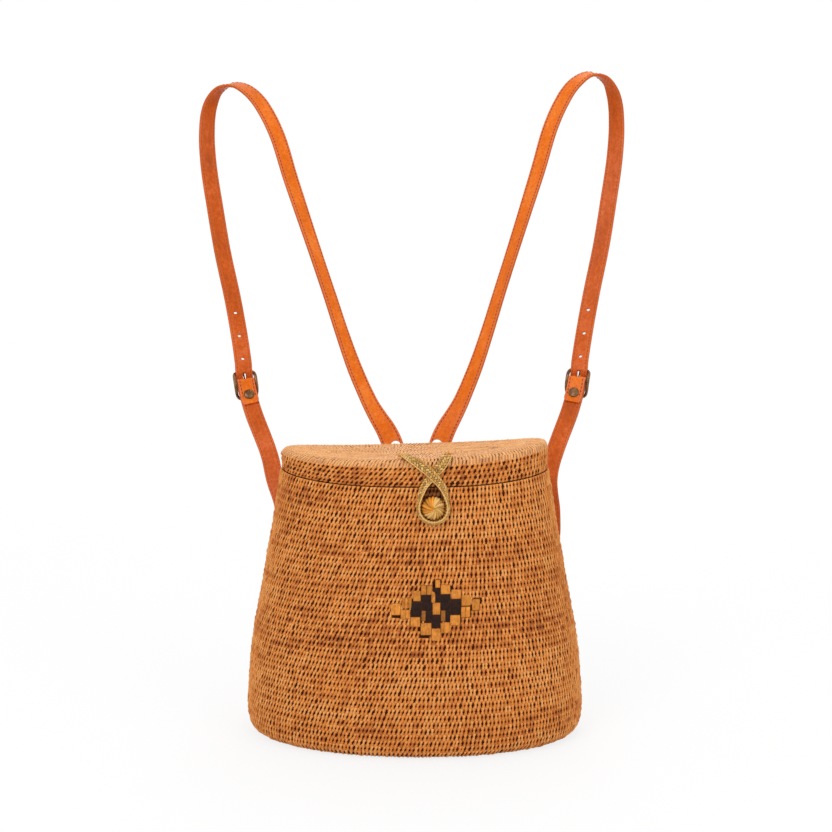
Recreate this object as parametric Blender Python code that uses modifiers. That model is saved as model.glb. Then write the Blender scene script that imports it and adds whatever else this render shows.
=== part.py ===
"""Pack basket: an oval coiled cane basket with a hinged lid, a plaited
closure loop over a knob, and two leather shoulder straps with buckles."""

import math

import bmesh
import bpy
from mathutils import Matrix, Vector

# Basket body
BASE_WIDTH = 0.2636
BASE_DEPTH = 0.163
RIM_WIDTH = 0.2085
RIM_DEPTH = 0.115
BODY_HEIGHT = 0.198
RIM_END_RISE = 0.007
WALL = 0.0042
FLOOR = 0.005
RIM_ROUND = 0.0014
COIL_ROWS = 42
COIL_DEPTH = 0.0005
PLAN_POWER = 2.15
PLAN_SIDES = 52
BODY_PROFILE_SHARES = (
    (0.0, 0.72), (0.02, 0.90), (0.05, 0.97), (0.11, 1.0), (0.22, 0.945), (0.32, 0.885),
    (0.42, 0.78), (0.51, 0.65), (0.61, 0.51), (0.71, 0.385), (0.80, 0.25), (0.90, 0.13),
    (0.97, 0.03), (1.0, 0.0),
)

# Lid
LID_SETBACK = 0.00075
LID_WIDTH = RIM_WIDTH - 2 * LID_SETBACK
LID_DEPTH = RIM_DEPTH - 2 * LID_SETBACK
LID_HEIGHT = 0.020
LID_SKEW = 0.0033
LID_TOP = 0.005
LID_DISH = 0.0012
LID_ROWS = 4
LID_EDGE_RADIUS = 0.0045
LID_EDGE_TURNS = 4
LID_DISH_SHARES = ((0.84, 0.0), (0.74, 0.55), (0.45, 0.95), (0.14, 1.0))
LID_BULGE = 0.0008

# Rim collar and hinge rings
GAP = 0.0003
COLLAR_WALL = 0.0026
COLLAR_REACH = 0.006
COLLAR_SEAT = 0.009
COLLAR_CLEARANCE = 0.0014
HINGE_OUT = 0.0008
RING_SPACING = 0.048
RING_RADIUS = 0.008
RING_WIRE = 0.0012

# Closure
CLOSURE_X = 0.0154
KNOB_DROP = 0.015
KNOB_HEIGHT = BODY_HEIGHT - KNOB_DROP
KNOB_RADIUS = 0.0076
KNOB_DEPTH = 0.0085
KNOB_EDGE_SHARE = 0.38
KNOB_FOOT_SHARES = ((0.94, 0.4), (0.8, 0.0))
CORD_RADIUS = 0.0016
CORD_SEAT = 0.0048
KNOT_RADIUS = 0.004
BAND_WIDTH = 0.0072
BAND_THICK = 0.0022
BAND_AXIS_IN = 0.0085
BAND_LIFT = 0.0006
BAND_CROSS_DROP = 0.009
BAND_LEFT = 0.0209
BAND_RIGHT = 0.0101
BAND_STEP = 0.003
BAND_EDGE_SHARES = (0.2, 0.1)
BAND_SLOPE_SHARES = (0.65, 0.45)
BAND_EDGE_RISE_SHARE = 0.3
BAND_NECK_SHARES = (0.62, 1.45)
BAND_NECK_TURN_SHARES = (0.6, 0.5)
BAND_ROUND_TURNS = (20, 0, -30, -60, -90, -120, -150, -180, -200)
LOOP_CLEARANCE = 0.0007
ANCHOR_RUN = 0.006
ANCHOR_BEND_SHARES = ((0.0, 0.0), (0.4, 0.0), (0.85, 0.4), (1.0, 1.2))
ANCHOR_KNOT = 0.0052
ANCHOR_KNOT_SHARES = ((0.0, 1.0), (0.3, 2.2), (0.8, 2.2), (1.0, 1.2))

# Straps
STRAP_WIDTH = 0.015
STRAP_THICK = 0.0026
STRAP_AXIS_OUT = 0.0165
STRAP_AXIS_Y = RIM_DEPTH / 2 + STRAP_AXIS_OUT
STRAP_AXIS_DROP = 0.048
STRAP_AXIS_Z = BODY_HEIGHT - STRAP_AXIS_DROP
STRAP_BACK = 0.118
STRAP_REACH_LEFT = 0.196
STRAP_REACH_RIGHT = 0.179
STRAP_RISE_LEFT = 0.383
STRAP_RISE_RIGHT = 0.391
STRAP_STEP = 0.011
EDGE_SHARE = 0.35
ROOT_X = 0.0145
ROOT_DROP = 0.024
ROOT_LENGTH = 0.030
ROOT_TOP = STRAP_AXIS_Z - ROOT_DROP
ROOT_END = ROOT_TOP - ROOT_LENGTH
ROOT_FLARE_SHARE = 1.25
FOOT_X = 0.100
FOOT_TOP = 0.066
FOOT_END = 0.030
FOOT_BEND_IN = 0.0025
FOOT_BEND_Y = STRAP_AXIS_Y - FOOT_BEND_IN
FOOT_BEND_Z = (STRAP_AXIS_Z + FOOT_TOP) / 2
SLOT_WIDTH = 0.0088
SLOT_LENGTH = 0.017
SLOT_RISE = 0.061
SLOT_OFFSET = 0.0023
HOLE_RADIUS = 0.0015
HOLE_PITCH = 0.023
STRAP_SHARES = (
    (0.077, 0.06, 0.06, 0.0, 1.25), (0.087, 0.11, 0.11, 0.0, 1.25),
    (0.112, 0.167, 0.167, 0.03, 1.22), (0.206, 0.25, 0.25, 0.17, 1.0),
    (0.280, 0.33, 0.33, 0.23, 1.0), (0.340, 0.41, 0.41, 0.27, 1.0),
    (0.395, 0.49, 0.49, 0.285, 1.0), (0.455, 0.575, 0.575, 0.285, 1.0),
    (0.515, 0.66, 0.66, 0.26, 1.0), (0.592, 0.77, 0.77, 0.21, 1.0),
    (0.674, 0.89, 0.885, 0.185, 1.0), (0.720, 0.935, 0.93, 0.19, 1.0),
    (0.790, 0.98, 0.965, 0.25, 1.0), (0.867, 1.0, 0.985, 0.38, 1.0),
    (0.940, 0.988, 0.985, 0.56, 1.0), (0.981, 0.955, 0.98, 0.71, 1.0),
    (1.000, 0.895, 0.97, 0.80, 1.0), (0.997, 0.835, 0.955, 0.84, 1.0),
    (0.985, 0.78, 0.94, 0.87, 1.0), (0.965, 0.72, 0.915, 0.89, 1.0),
    (0.923, 0.605, 0.85, 0.91, 1.0), (0.865, 0.485, 0.75, 0.91, 1.0),
    (0.817, 0.38, 0.61, 0.90, 1.0), (0.783, 0.295, 0.48, 0.89, 1.0),
    (0.736, 0.225, 0.375, 0.90, 1.0), (0.690, 0.175, 0.29, 0.92, 1.0),
    (0.652, 0.13, 0.21, 0.95, 1.0), (0.627, 0.085, 0.125, 0.98, 1.0),
)
BUCKLE_ROW = 23
HINGE_RUN = 0.010
HINGE_LEAN = 0.0045
FOOT_AXIS_X = 0.114

# Buckle, rivets and washers
BAR_RADIUS = 0.0011
BAR_CLEARANCE = 0.0005
BUCKLE_LENGTH = 0.0255
BUCKLE_SIDE_CLEARANCE = 0.0014
BUCKLE_TOP_OUT = 0.002
BUCKLE_FOOT_OUT = 0.0083
BUCKLE_POWER = 5
BUCKLE_EASE = 0.034
FLAP_LENGTH = 0.021
TAIL_LENGTH = 0.078
TONGUE_RADIUS = 0.0007
TONGUE_SLOT = 0.0028
TONGUE_CLEARANCE = 0.0004
RIVET_DOWN = 0.0125
RIVET_SHANK = 0.0012
RIVET_HEAD = 0.0046
RIVET_DOME = 0.0016
RIVET_TAIL = 0.0030
RIVET_TAIL_THICK = 0.0010
WASHER_RADIUS = 0.0060
WASHER_THICK = 0.0012
ROUND_SIDES = 16
RING_SIDES = 24
OVERRUN = 0.004

COLOURS = {
    "cane": ((0.62, 0.30, 0.12, 1.0), 0.62, 0.0),
    "dark_cane": ((0.30, 0.13, 0.05, 1.0), 0.7, 0.0),
    "plait": ((0.52, 0.38, 0.14, 1.0), 0.65, 0.0),
    "leather": ((0.72, 0.21, 0.04, 1.0), 0.5, 0.0),
    "bronze": ((0.30, 0.18, 0.10, 1.0), 0.38, 1.0),
}
SIDES = {"left": -1.0, "right": 1.0}
REACHES = {"left": STRAP_REACH_LEFT, "right": STRAP_REACH_RIGHT}
RISES = {"left": STRAP_RISE_LEFT, "right": STRAP_RISE_RIGHT}
UP = Vector((0, 0, 1))
BACK = Vector((0, 1, 0))


def clear_scene():
    for old in list(bpy.data.objects):
        bpy.data.objects.remove(old, do_unlink=True)


def collection(name):
    group = bpy.data.collections.get(name) or bpy.data.collections.new(name)
    if group.name not in bpy.context.scene.collection.children:
        bpy.context.scene.collection.children.link(group)
    return group


def material(name):
    found = bpy.data.materials.get(name)
    if found:
        return found
    colour, roughness, metallic = COLOURS[name]
    made = bpy.data.materials.new(name)
    made.use_nodes = True
    shader = made.node_tree.nodes["Principled BSDF"]
    shader.inputs["Base Color"].default_value = colour
    shader.inputs["Roughness"].default_value = roughness
    shader.inputs["Metallic"].default_value = metallic
    return made


def own_material(name, kind):
    """Each sub-part carries its own copy of its finish."""
    made = material(kind).copy()
    made.name = name + "_" + kind
    return made


def place(name, mesh, kind):
    """Put a finished mesh in the basket's collection, shaded smooth with crisp edges."""
    mesh.shade_smooth()
    mesh.set_sharp_from_angle(angle=math.radians(35))
    obj = bpy.data.objects.new(name, mesh)
    collection("pack_basket").objects.link(obj)
    mesh.materials.append(own_material(name, kind))
    return obj


def cutter(name, mesh):
    obj = bpy.data.objects.new(name, mesh)
    collection("cutters").objects.link(obj)
    obj.hide_render = True
    obj.display_type = "WIRE"
    return obj


def combine(target, other, operation):
    step = target.modifiers.new(operation.lower() + "_" + other.name, "BOOLEAN")
    step.operation = operation
    step.solver = "EXACT"
    step.object = other


def loft(name, rings, cyclic=False, twisted=False):
    """Skin rings of points one after another, then cap both ends or join the last to the first."""
    shape = bmesh.new()
    loops = [[shape.verts.new(point) for point in ring] for ring in rings]
    count = len(rings[0])
    pairs = list(zip(loops, loops[1:]))
    if cyclic:
        pairs.append((loops[-1], loops[0]))
    for lower, upper in pairs:
        for i in range(count):
            j = (i + 1) % count
            shape.faces.new((lower[i], lower[j], upper[j], upper[i]))
    if not cyclic:
        shape.faces.new(loops[0])
        shape.faces.new(loops[-1])
    if twisted:
        bmesh.ops.triangulate(shape, faces=shape.faces, quad_method="SHORT_EDGE")
    bmesh.ops.recalc_face_normals(shape, faces=shape.faces)
    mesh = bpy.data.meshes.new(name)
    shape.to_mesh(mesh)
    shape.free()
    return mesh


def turned(name, profile, placement, kind=None, closed=False):
    """Turn a profile of (radius, height) points, top to bottom on the outer side, about local Z."""
    mesh = bpy.data.meshes.new(name)
    edges = [(i, i + 1) for i in range(len(profile) - 1)]
    if closed:
        edges.append((len(profile) - 1, 0))
    mesh.from_pydata([(radius, 0, height) for radius, height in profile], edges, [])
    obj = place(name, mesh, kind) if kind else cutter(name, mesh)
    screw = obj.modifiers.new("turn", "SCREW")
    screw.axis = "Z"
    screw.steps = ROUND_SIDES
    screw.render_steps = ROUND_SIDES
    screw.use_merge_vertices = True
    screw.merge_threshold = 0.00001
    obj.matrix_world = placement
    return obj


def rod(name, radius, low, high, placement):
    """A plain round cutter between two heights along local Z."""
    return turned(name, [(0, high), (radius, high), (radius, low), (0, low)], placement)


def axes(origin, x_axis, z_axis):
    turn = Matrix((x_axis, z_axis.cross(x_axis), z_axis)).transposed()
    return Matrix.Translation(origin) @ turn.to_4x4()


def upright_on(origin, normal):
    """Placement whose local Z runs along the normal."""
    across = UP.cross(normal).normalized()
    return axes(origin, across, normal)


def read_table(shares, at):
    """Straight-line reading of a two-column table."""
    for (x0, y0), (x1, y1) in zip(shares, shares[1:]):
        if at <= x1:
            return y0 + (y1 - y0) * (at - x0) / (x1 - x0)
    return shares[-1][1]


def oval(half_width, half_depth, step):
    """One point of the basket's oval plan."""
    angle = 2 * math.pi * step / PLAN_SIDES
    c, s = math.cos(angle), math.sin(angle)
    x = half_width * math.copysign(abs(c) ** (2 / PLAN_POWER), c)
    y = half_depth * math.copysign(abs(s) ** (2 / PLAN_POWER), s)
    return x, y


def seam_rise(x):
    """The rim and the lid's edge sweep up towards the two ends."""
    return RIM_END_RISE * min(1, abs(2 * x / RIM_WIDTH)) ** 3


def body_halves(share):
    spread = read_table(BODY_PROFILE_SHARES, share)
    half_width = (RIM_WIDTH + spread * (BASE_WIDTH - RIM_WIDTH)) / 2
    half_depth = (RIM_DEPTH + spread * (BASE_DEPTH - RIM_DEPTH)) / 2
    return half_width, half_depth


def body_ring(share, inset, height=None):
    """A level ring of the body's wall, raised with the rim in the upper half."""
    half_width, half_depth = body_halves(share)
    level = BODY_HEIGHT * share if height is None else height
    lift = max(0, 2 * share - 1) ** 2
    ring = []
    for step in range(PLAN_SIDES):
        x, y = oval(half_width - inset, half_depth - inset, step)
        ring.append(Vector((x, y, level + lift * seam_rise(x))))
    return ring


def wall_point(x, z, side, out=0.0):
    """A point of the body's outer wall, on the front (-1) or back (1), and the wall's normal there."""
    def depth(x, z):
        half_width, half_depth = body_halves(z / BODY_HEIGHT)
        across = min(1, abs(x) / half_width) ** PLAN_POWER
        return half_depth * (1 - across) ** (1 / PLAN_POWER)
    y = depth(x, z)
    slope_x = (depth(x + GAP, z) - depth(x - GAP, z)) / (2 * GAP)
    slope_z = (depth(x, z + WALL) - depth(x, z - WALL)) / (2 * WALL)
    normal = Vector((-slope_x, 1, -slope_z)).normalized()
    point = Vector((x, y, z)) + normal * out
    return Vector((point.x, side * point.y, point.z)), Vector((normal.x, side * normal.y, normal.z))


def lid_top(x):
    return BODY_HEIGHT + GAP + seam_rise(x) + LID_HEIGHT + LID_SKEW * 2 * x / LID_WIDTH


def lid_ring(inset, share, drop=0.0):
    """A ring of the lid at a share of its height, moved in from the side and down from that height."""
    ring = []
    for step in range(PLAN_SIDES):
        x, y = oval(LID_WIDTH / 2 - inset, LID_DEPTH / 2 - inset, step)
        low = BODY_HEIGHT + GAP + seam_rise(x)
        ring.append(Vector((x, y, low + share * (lid_top(x) - low) - drop)))
    return ring


def lid_disc(width_share, drop):
    """A ring of the lid's top at a share of its width and depth."""
    ring = []
    for step in range(PLAN_SIDES):
        x, y = oval(LID_WIDTH / 2 * width_share, LID_DEPTH / 2 * width_share, step)
        ring.append(Vector((x, y, lid_top(x) - drop)))
    return ring


def hinge_ring_mesh(sign, wire):
    """A ring round the back hinge line, through the body's rim and the lid's edge."""
    bpy.ops.mesh.primitive_torus_add(
        major_segments=RING_SIDES, minor_segments=ROUND_SIDES // 2,
        major_radius=RING_RADIUS, minor_radius=wire,
        location=(sign * RING_SPACING / 2, hinge_y(), BODY_HEIGHT),
        rotation=(0, math.pi / 2, 0))
    made = bpy.context.object
    mesh = made.data.copy()
    mesh.transform(made.matrix_world)
    bpy.data.objects.remove(made)
    return mesh


def cut_ring_channels(target):
    """The channels that the two hinge rings run in."""
    for side, sign in SIDES.items():
        mesh = hinge_ring_mesh(sign, RING_WIRE + GAP)
        combine(target, cutter(target.name + "_channel_" + side, mesh), "DIFFERENCE")


def hinge_y():
    return RIM_DEPTH / 2 + HINGE_OUT


def basket_body():
    rings = [body_ring(0.0, WALL, FLOOR)]
    for share, _ in BODY_PROFILE_SHARES[2:-2:2]:
        rings.append(body_ring(share, WALL))
    rings.append(body_ring(1.0, WALL, BODY_HEIGHT - RIM_ROUND))
    rings.append(body_ring(1.0, WALL - RIM_ROUND))
    rings.append(body_ring(1.0, RIM_ROUND))
    rings.append(body_ring(1.0, 0, BODY_HEIGHT - RIM_ROUND))
    for row in range(COIL_ROWS - 1, -1, -1):
        rings.append(body_ring((row + 1 / 2) / COIL_ROWS, 0))
        rings.append(body_ring(row / COIL_ROWS, COIL_DEPTH if row else 0))
    body = place("basket_body", loft("basket_body", rings), "cane")
    cut_ring_channels(body)
    return body


def rim_collar():
    """The band sewn inside the rim, which stands up into the lid and keeps it in place."""
    seat = 1 - COLLAR_SEAT / BODY_HEIGHT
    hug = WALL + 2 * GAP
    slim = LID_SETBACK + WALL + COLLAR_CLEARANCE
    rings = [
        body_ring(seat, hug + COLLAR_WALL), body_ring(seat, hug),
        body_ring(1.0, slim), body_ring(1.0, slim, BODY_HEIGHT + COLLAR_REACH),
        body_ring(1.0, slim + COLLAR_WALL, BODY_HEIGHT + COLLAR_REACH),
        body_ring(1.0, slim + COLLAR_WALL),
    ]
    collar = place("rim_collar", loft("rim_collar", rings, cyclic=True), "dark_cane")
    cut_ring_channels(collar)
    return collar


def lid():
    rings = [lid_disc(share, LID_TOP + LID_DISH * dip) for share, dip in LID_DISH_SHARES[::-1]]
    rings.append(lid_ring(WALL + LID_EDGE_RADIUS, 1.0, LID_TOP))
    rings.append(lid_ring(WALL, 1.0, LID_TOP + LID_EDGE_RADIUS))
    rings.append(lid_ring(WALL, 0.0, -RIM_ROUND))
    rings.append(lid_ring(WALL - RIM_ROUND, 0.0))
    rings.append(lid_ring(LID_BULGE + RIM_ROUND, 0.0))
    row_share = (1 - LID_EDGE_RADIUS / LID_HEIGHT) / LID_ROWS
    for half in range(1, 2 * LID_ROWS):
        share = half * row_share / 2
        groove = 0 if half % 2 else COIL_DEPTH
        rings.append(lid_ring(LID_BULGE * (1 - share) ** 2 / 2 + groove, share))
    for turn in range(LID_EDGE_TURNS + 1):
        angle = math.pi / 2 * turn / LID_EDGE_TURNS
        inset = LID_EDGE_RADIUS * (1 - math.cos(angle)) + LID_BULGE / 2
        rings.append(lid_ring(inset, 1.0, LID_EDGE_RADIUS * (1 - math.sin(angle))))
    rings += [lid_disc(share, LID_DISH * dip) for share, dip in LID_DISH_SHARES]
    shell = place("lid", loft("lid", rings), "cane")
    cut_ring_channels(shell)
    return shell


def hinge_rings():
    for side, sign in SIDES.items():
        place("hinge_ring_" + side, hinge_ring_mesh(sign, RING_WIRE), "dark_cane")


def smooth_route(rows, step):
    """Stations along a smooth curve through the rows, about one step apart, and each row's index."""
    spans = [(Vector(b[:3]) - Vector(a[:3])).length for a, b in zip(rows, rows[1:])]
    slopes = []
    for i in range(len(rows)):
        before, after = max(0, i - 1), min(i, len(spans) - 1)
        slope = []
        for p0, p1, p2 in zip(rows[before], rows[i], rows[after + 1]):
            into, onward = (p1 - p0) / spans[before], (p2 - p1) / spans[after]
            if i == 0:
                slope.append(onward)
            elif i == len(rows) - 1:
                slope.append(into)
            else:
                share = spans[before] / (spans[before] + spans[after])
                slope.append(into * (1 - share) + onward * share)
        slopes.append(slope)
    stations = [rows[0]]
    marks = [0]
    for i, span in enumerate(spans):
        count = max(1, round(span / step))
        for k in range(1, count + 1):
            t = k / count
            row = []
            for p1, p2, s1, s2 in zip(rows[i], rows[i + 1], slopes[i], slopes[i + 1]):
                row.append(p1 * (1 + 2 * t) * (1 - t) ** 2 + p2 * t * t * (3 - 2 * t)
                           + span * (s1 * t * (1 - t) ** 2 - s2 * t * t * (1 - t)))
            stations.append(tuple(row))
        marks.append(len(stations) - 1)
    return stations, marks


def tangents(points):
    found = []
    for i in range(len(points)):
        found.append((points[min(i + 1, len(points) - 1)] - points[max(i - 1, 0)]).normalized())
    return found


def band_section(point, across, out, width, thick):
    """Eight corners of a flat band's section, with its edges chamfered."""
    edge = EDGE_SHARE * thick
    corners = (
        (width / 2, thick / 2 - edge), (width / 2 - edge, thick / 2),
        (edge - width / 2, thick / 2), (-width / 2, thick / 2 - edge),
        (-width / 2, edge - thick / 2), (edge - width / 2, -thick / 2),
        (width / 2 - edge, -thick / 2), (width / 2, edge - thick / 2),
    )
    return [point + across * w + out * n for w, n in corners]


def band(name, points, sideways, widths, thick, round_start=False, round_end=False):
    """A flat band along the points; its rounded noses turn about the first or last point."""
    forward = tangents(points)
    rings = []
    for point, side, ahead, width in zip(points, sideways, forward, widths):
        across = (side - ahead * side.dot(ahead)).normalized()
        out = across.cross(ahead)
        rings.append(band_section(point, across, out, width, thick))
    for wanted, index, sign in ((round_start, 0, -1), (round_end, -1, 1)):
        if not wanted:
            continue
        ahead = forward[index] * sign
        across = (sideways[index] - ahead * sideways[index].dot(ahead)).normalized()
        out = across.cross(ahead) * sign
        nose = []
        for turn in (25, 50, 75):
            angle = math.radians(turn)
            middle = points[index] + ahead * thick / 2 * math.sin(angle)
            nose.append(band_section(middle, across, out, widths[index], thick * math.cos(angle)))
        rings = rings + nose if sign > 0 else nose[::-1] + rings
    return loft(name, rings, twisted=True)


def strap_rows(side):
    """The strap's whole route from its root on the back wall, over the top, down to its foot.

    Each row holds x (outwards), y, z, the twist as a part of half a turn, and the width as a
    share. The second value gives the rows of the upper hinge, the buckle's bar and the lower hinge.
    """
    lie = STRAP_THICK / 2 + 3 * GAP / 2
    rows = []
    for z in (ROOT_END, (ROOT_END + ROOT_TOP) / 2, ROOT_TOP):
        point, normal = wall_point(ROOT_X, z, 1, lie)
        rows.append((point.x, point.y, point.z, math.atan2(normal.x, normal.y) / math.pi,
                     ROOT_FLARE_SHARE))
    upper_hinge = len(rows) + 1
    for run in (-HINGE_RUN, 0, HINGE_RUN):
        lean = HINGE_LEAN * run / HINGE_RUN
        rows.append((ROOT_X, STRAP_AXIS_Y + max(0, lean), STRAP_AXIS_Z + run, 0.0,
                     ROOT_FLARE_SHARE))
    bar = len(rows) + BUCKLE_ROW
    for out, rise, back, twist, width in STRAP_SHARES:
        rows.append((out * REACHES[side], STRAP_AXIS_Y + back * STRAP_BACK,
                     STRAP_AXIS_Z + rise * RISES[side], twist, width))
    lower_hinge = len(rows) + 1
    for run in (HINGE_RUN, 0, -HINGE_RUN):
        lean = HINGE_LEAN * run / HINGE_RUN
        rows.append((FOOT_AXIS_X, STRAP_AXIS_Y + max(0, lean), STRAP_AXIS_Z + run, 1.0, 1.0))
    point, normal = wall_point(FOOT_X, FOOT_TOP, 1, lie)
    turn = 1 - math.atan2(normal.x, normal.y) / math.pi
    rows.append(((FOOT_AXIS_X + FOOT_X) / 2, FOOT_BEND_Y, FOOT_BEND_Z, turn, 1.0))
    for step in range(5):
        z = FOOT_TOP + (FOOT_END - FOOT_TOP) * step / 4
        point, normal = wall_point(FOOT_X, z, 1, lie)
        rows.append((point.x, point.y, point.z, 1 - math.atan2(normal.x, normal.y) / math.pi, 1.0))
    return rows, (upper_hinge, bar, lower_hinge)


def strap_frames(stations, sign):
    """Turn the route's rows into points, sideways directions and widths in the world."""
    points = [Vector(row[:3]) for row in stations]
    sideways = []
    for row, ahead in zip(stations, tangents(points)):
        level = ahead.cross(BACK).normalized()
        behind = level.cross(ahead)
        angle = math.pi * row[3]
        sideways.append(level * math.cos(angle) + behind * math.sin(angle))
    widths = [STRAP_WIDTH * row[4] for row in stations]
    flip = Vector((sign, 1, 1))
    return [p * flip for p in points], [s * flip for s in sideways], widths


class StrapRoute:
    """One strap's stations, its two hinge places and its buckle's frame."""

    def __init__(self, side):
        rows, places = strap_rows(side)
        stations, marks = smooth_route(rows, STRAP_STEP)
        self.sign = SIDES[side]
        self.points, self.sideways, self.widths = strap_frames(stations, self.sign)
        self.root_axis, self.bar, self.foot_axis = (marks[place] for place in places)
        self.lengths = [0.0]
        for a, b in zip(self.points, self.points[1:]):
            self.lengths.append(self.lengths[-1] + (b - a).length)
        ahead = (self.points[self.bar + 1] - self.points[self.bar - 1]).normalized()
        across = self.sideways[self.bar]
        self.across = (across - ahead * across.dot(ahead)).normalized()
        self.up = -ahead
        self.out = self.outward(self.across, ahead)
        self.origin = self.points[self.bar]

    def outward(self, across, ahead):
        """The finished side of the strap faces this way."""
        return across.cross(ahead) * -self.sign

    def local(self, along, out, across=0.0):
        """A place near the buckle: up along the strap, out from it, and across it."""
        return self.origin + self.up * along + self.out * out + self.across * across

    def sample(self, length):
        """Point, sideways direction and width at a length along the route."""
        for i in range(len(self.lengths) - 1):
            if length <= self.lengths[i + 1]:
                break
        t = (length - self.lengths[i]) / (self.lengths[i + 1] - self.lengths[i])
        point = self.points[i].lerp(self.points[i + 1], t)
        side = self.sideways[i].lerp(self.sideways[i + 1], t).normalized()
        ahead = (self.points[i + 1] - self.points[i]).normalized()
        across = (side - ahead * side.dot(ahead)).normalized()
        return point, side, self.widths[i], self.outward(across, ahead)

    def stretch(self, first, last):
        return self.points[first:last + 1], self.sideways[first:last + 1], self.widths[first:last + 1]


def build_band(name, parts, kind, **noses):
    points, sideways, widths = parts
    return place(name, band(name, points, sideways, widths, STRAP_THICK, **noses), kind)


def clear_of_nose(points, index, step):
    """Where a fixed end stops short of the nose that turns about the point at the index."""
    away = (points[index + step] - points[index]).normalized()
    return points[index] + away * (STRAP_THICK / 2 + 2 * GAP)


def layer(route, side_out, start, end, settle):
    """Stations of a strap layer that lies beside the route, from one length to another.

    The layer leaves the route's own line at the settle length, over a smooth ease.
    """
    count = max(2, round(abs(end - start) / STRAP_STEP))
    rows = []
    for k in range(count + 1):
        length = start + (end - start) * k / count
        point, side, width, out = route.sample(length)
        ease = min(1, max(0, (settle[1] - length) / (settle[1] - settle[0])))
        ease = ease * ease * (3 - 2 * ease)
        rows.append((point + out * side_out * ease, side, width))
    return rows


def upper_strap(route, name):
    """From its hinge over the top, through the buckle, to its tail on the lower strap."""
    bar = route.lengths[route.bar]
    reach = BUCKLE_LENGTH / 2 - BAR_RADIUS
    fold = BAR_RADIUS + BAR_CLEARANCE + STRAP_THICK / 2
    under = fold + BAR_CLEARANCE
    over = fold + STRAP_THICK + GAP
    pass_under = BUCKLE_TOP_OUT - under
    ease_start = bar - reach - BUCKLE_EASE
    last = max(i for i in range(route.bar) if route.lengths[i] < ease_start)
    rows = list(zip(*route.stretch(route.root_axis, last)))
    count = round(BUCKLE_EASE / STRAP_STEP * 2)
    for k in range(1, count):
        t = k / count
        point, side, width, out = route.sample(ease_start + BUCKLE_EASE * t)
        rows.append((point + out * pass_under * t * t * (3 - 2 * t), side, width))
    span = math.hypot(reach, BUCKLE_TOP_OUT)
    tilt = math.asin((over + under) / span) - math.atan2(BUCKLE_TOP_OUT, reach)
    for turn in range(5):
        angle = tilt * turn / 4
        place_at = route.local(reach - under * math.sin(angle),
                               BUCKLE_TOP_OUT - under * math.cos(angle))
        rows.append((place_at, route.across, STRAP_WIDTH))
    for turn in range(4, -1, -1):
        angle = tilt * turn / 4
        place_at = route.local(over * math.sin(angle), over * math.cos(angle))
        rows.append((place_at, route.across, STRAP_WIDTH))
    rows.append((route.local(-STRAP_THICK, over - GAP), route.across, STRAP_WIDTH))
    lies = GAP / 2 + STRAP_THICK + 2 * GAP + STRAP_THICK / 2
    rows += layer(route, lies, bar + over + STRAP_THICK, bar + TAIL_LENGTH,
                  (route.lengths[-1], route.lengths[-1] + STRAP_THICK))
    points, sideways, widths = (list(column) for column in zip(*rows))
    return build_band(name, (points, sideways, widths), "leather", round_start=True)


def lower_strap(route, name):
    """From its hinge up to the bar, round it, and back down as the riveted flap."""
    bar = route.lengths[route.bar]
    foot = route.lengths[route.foot_axis]
    lies = GAP / 2 + STRAP_THICK / 2
    wrap = BAR_RADIUS + BAR_CLEARANCE + STRAP_THICK / 2
    tail = bar + TAIL_LENGTH
    rows = layer(route, lies, foot, bar + 4 * STRAP_THICK, (tail, foot))
    rows.append((route.local(-STRAP_THICK, wrap - GAP), route.across, STRAP_WIDTH))
    for turn in range(0, 181, 30):
        angle = math.radians(turn)
        rows.append((route.local(wrap * math.sin(angle), wrap * math.cos(angle)),
                     route.across, STRAP_WIDTH))
    rows.append((route.local(-STRAP_THICK, GAP - wrap), route.across, STRAP_WIDTH))
    rows += layer(route, -lies, bar + 4 * STRAP_THICK, bar + FLAP_LENGTH, (tail, foot))
    points, sideways, widths = (list(column) for column in zip(*rows))
    return build_band(name, (points, sideways, widths), "leather", round_start=True)


def frame_out(along):
    """How far the bowed frame stands out from the strap's line, at a distance up from its bar."""
    half = BUCKLE_LENGTH / 2 - BAR_RADIUS
    share = along / half
    return ((BUCKLE_TOP_OUT + BUCKLE_FOOT_OUT) / 2 * share ** 2
            + (BUCKLE_TOP_OUT - BUCKLE_FOOT_OUT) / 2 * share)


def buckle_frame(route, name):
    """A bowed wire frame with full, rounded sides and a bar across its middle."""
    half_length = BUCKLE_LENGTH / 2 - BAR_RADIUS
    half_width = STRAP_WIDTH / 2 + BUCKLE_SIDE_CLEARANCE + BAR_RADIUS
    spots = []
    for step in range(RING_SIDES):
        angle = 2 * math.pi * (step + 0.5) / RING_SIDES
        c, s = math.cos(angle), math.sin(angle)
        w = half_width * math.copysign(abs(c) ** (2 / BUCKLE_POWER), c)
        u = half_length * math.copysign(abs(s) ** (2 / BUCKLE_POWER), s)
        spots.append(Vector((w, u, frame_out(u))))
    rings = []
    for step, spot in enumerate(spots):
        ahead = (spots[(step + 1) % RING_SIDES] - spots[step - 1]).normalized()
        side = ahead.cross(UP).normalized()
        lift = side.cross(ahead)
        ring = []
        for k in range(ROUND_SIDES // 2):
            around = 4 * math.pi * k / ROUND_SIDES
            point = spot + (side * math.cos(around) + lift * math.sin(around)) * BAR_RADIUS
            ring.append(route.local(point.y, point.z, point.x))
        rings.append(ring)
    frame = place(name, loft(name, rings, cyclic=True), "bronze")
    lie = axes(route.origin, route.up, route.across)
    combine(frame, rod(name + "_bar", BAR_RADIUS, -half_width, half_width, lie), "UNION")
    return frame


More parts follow.
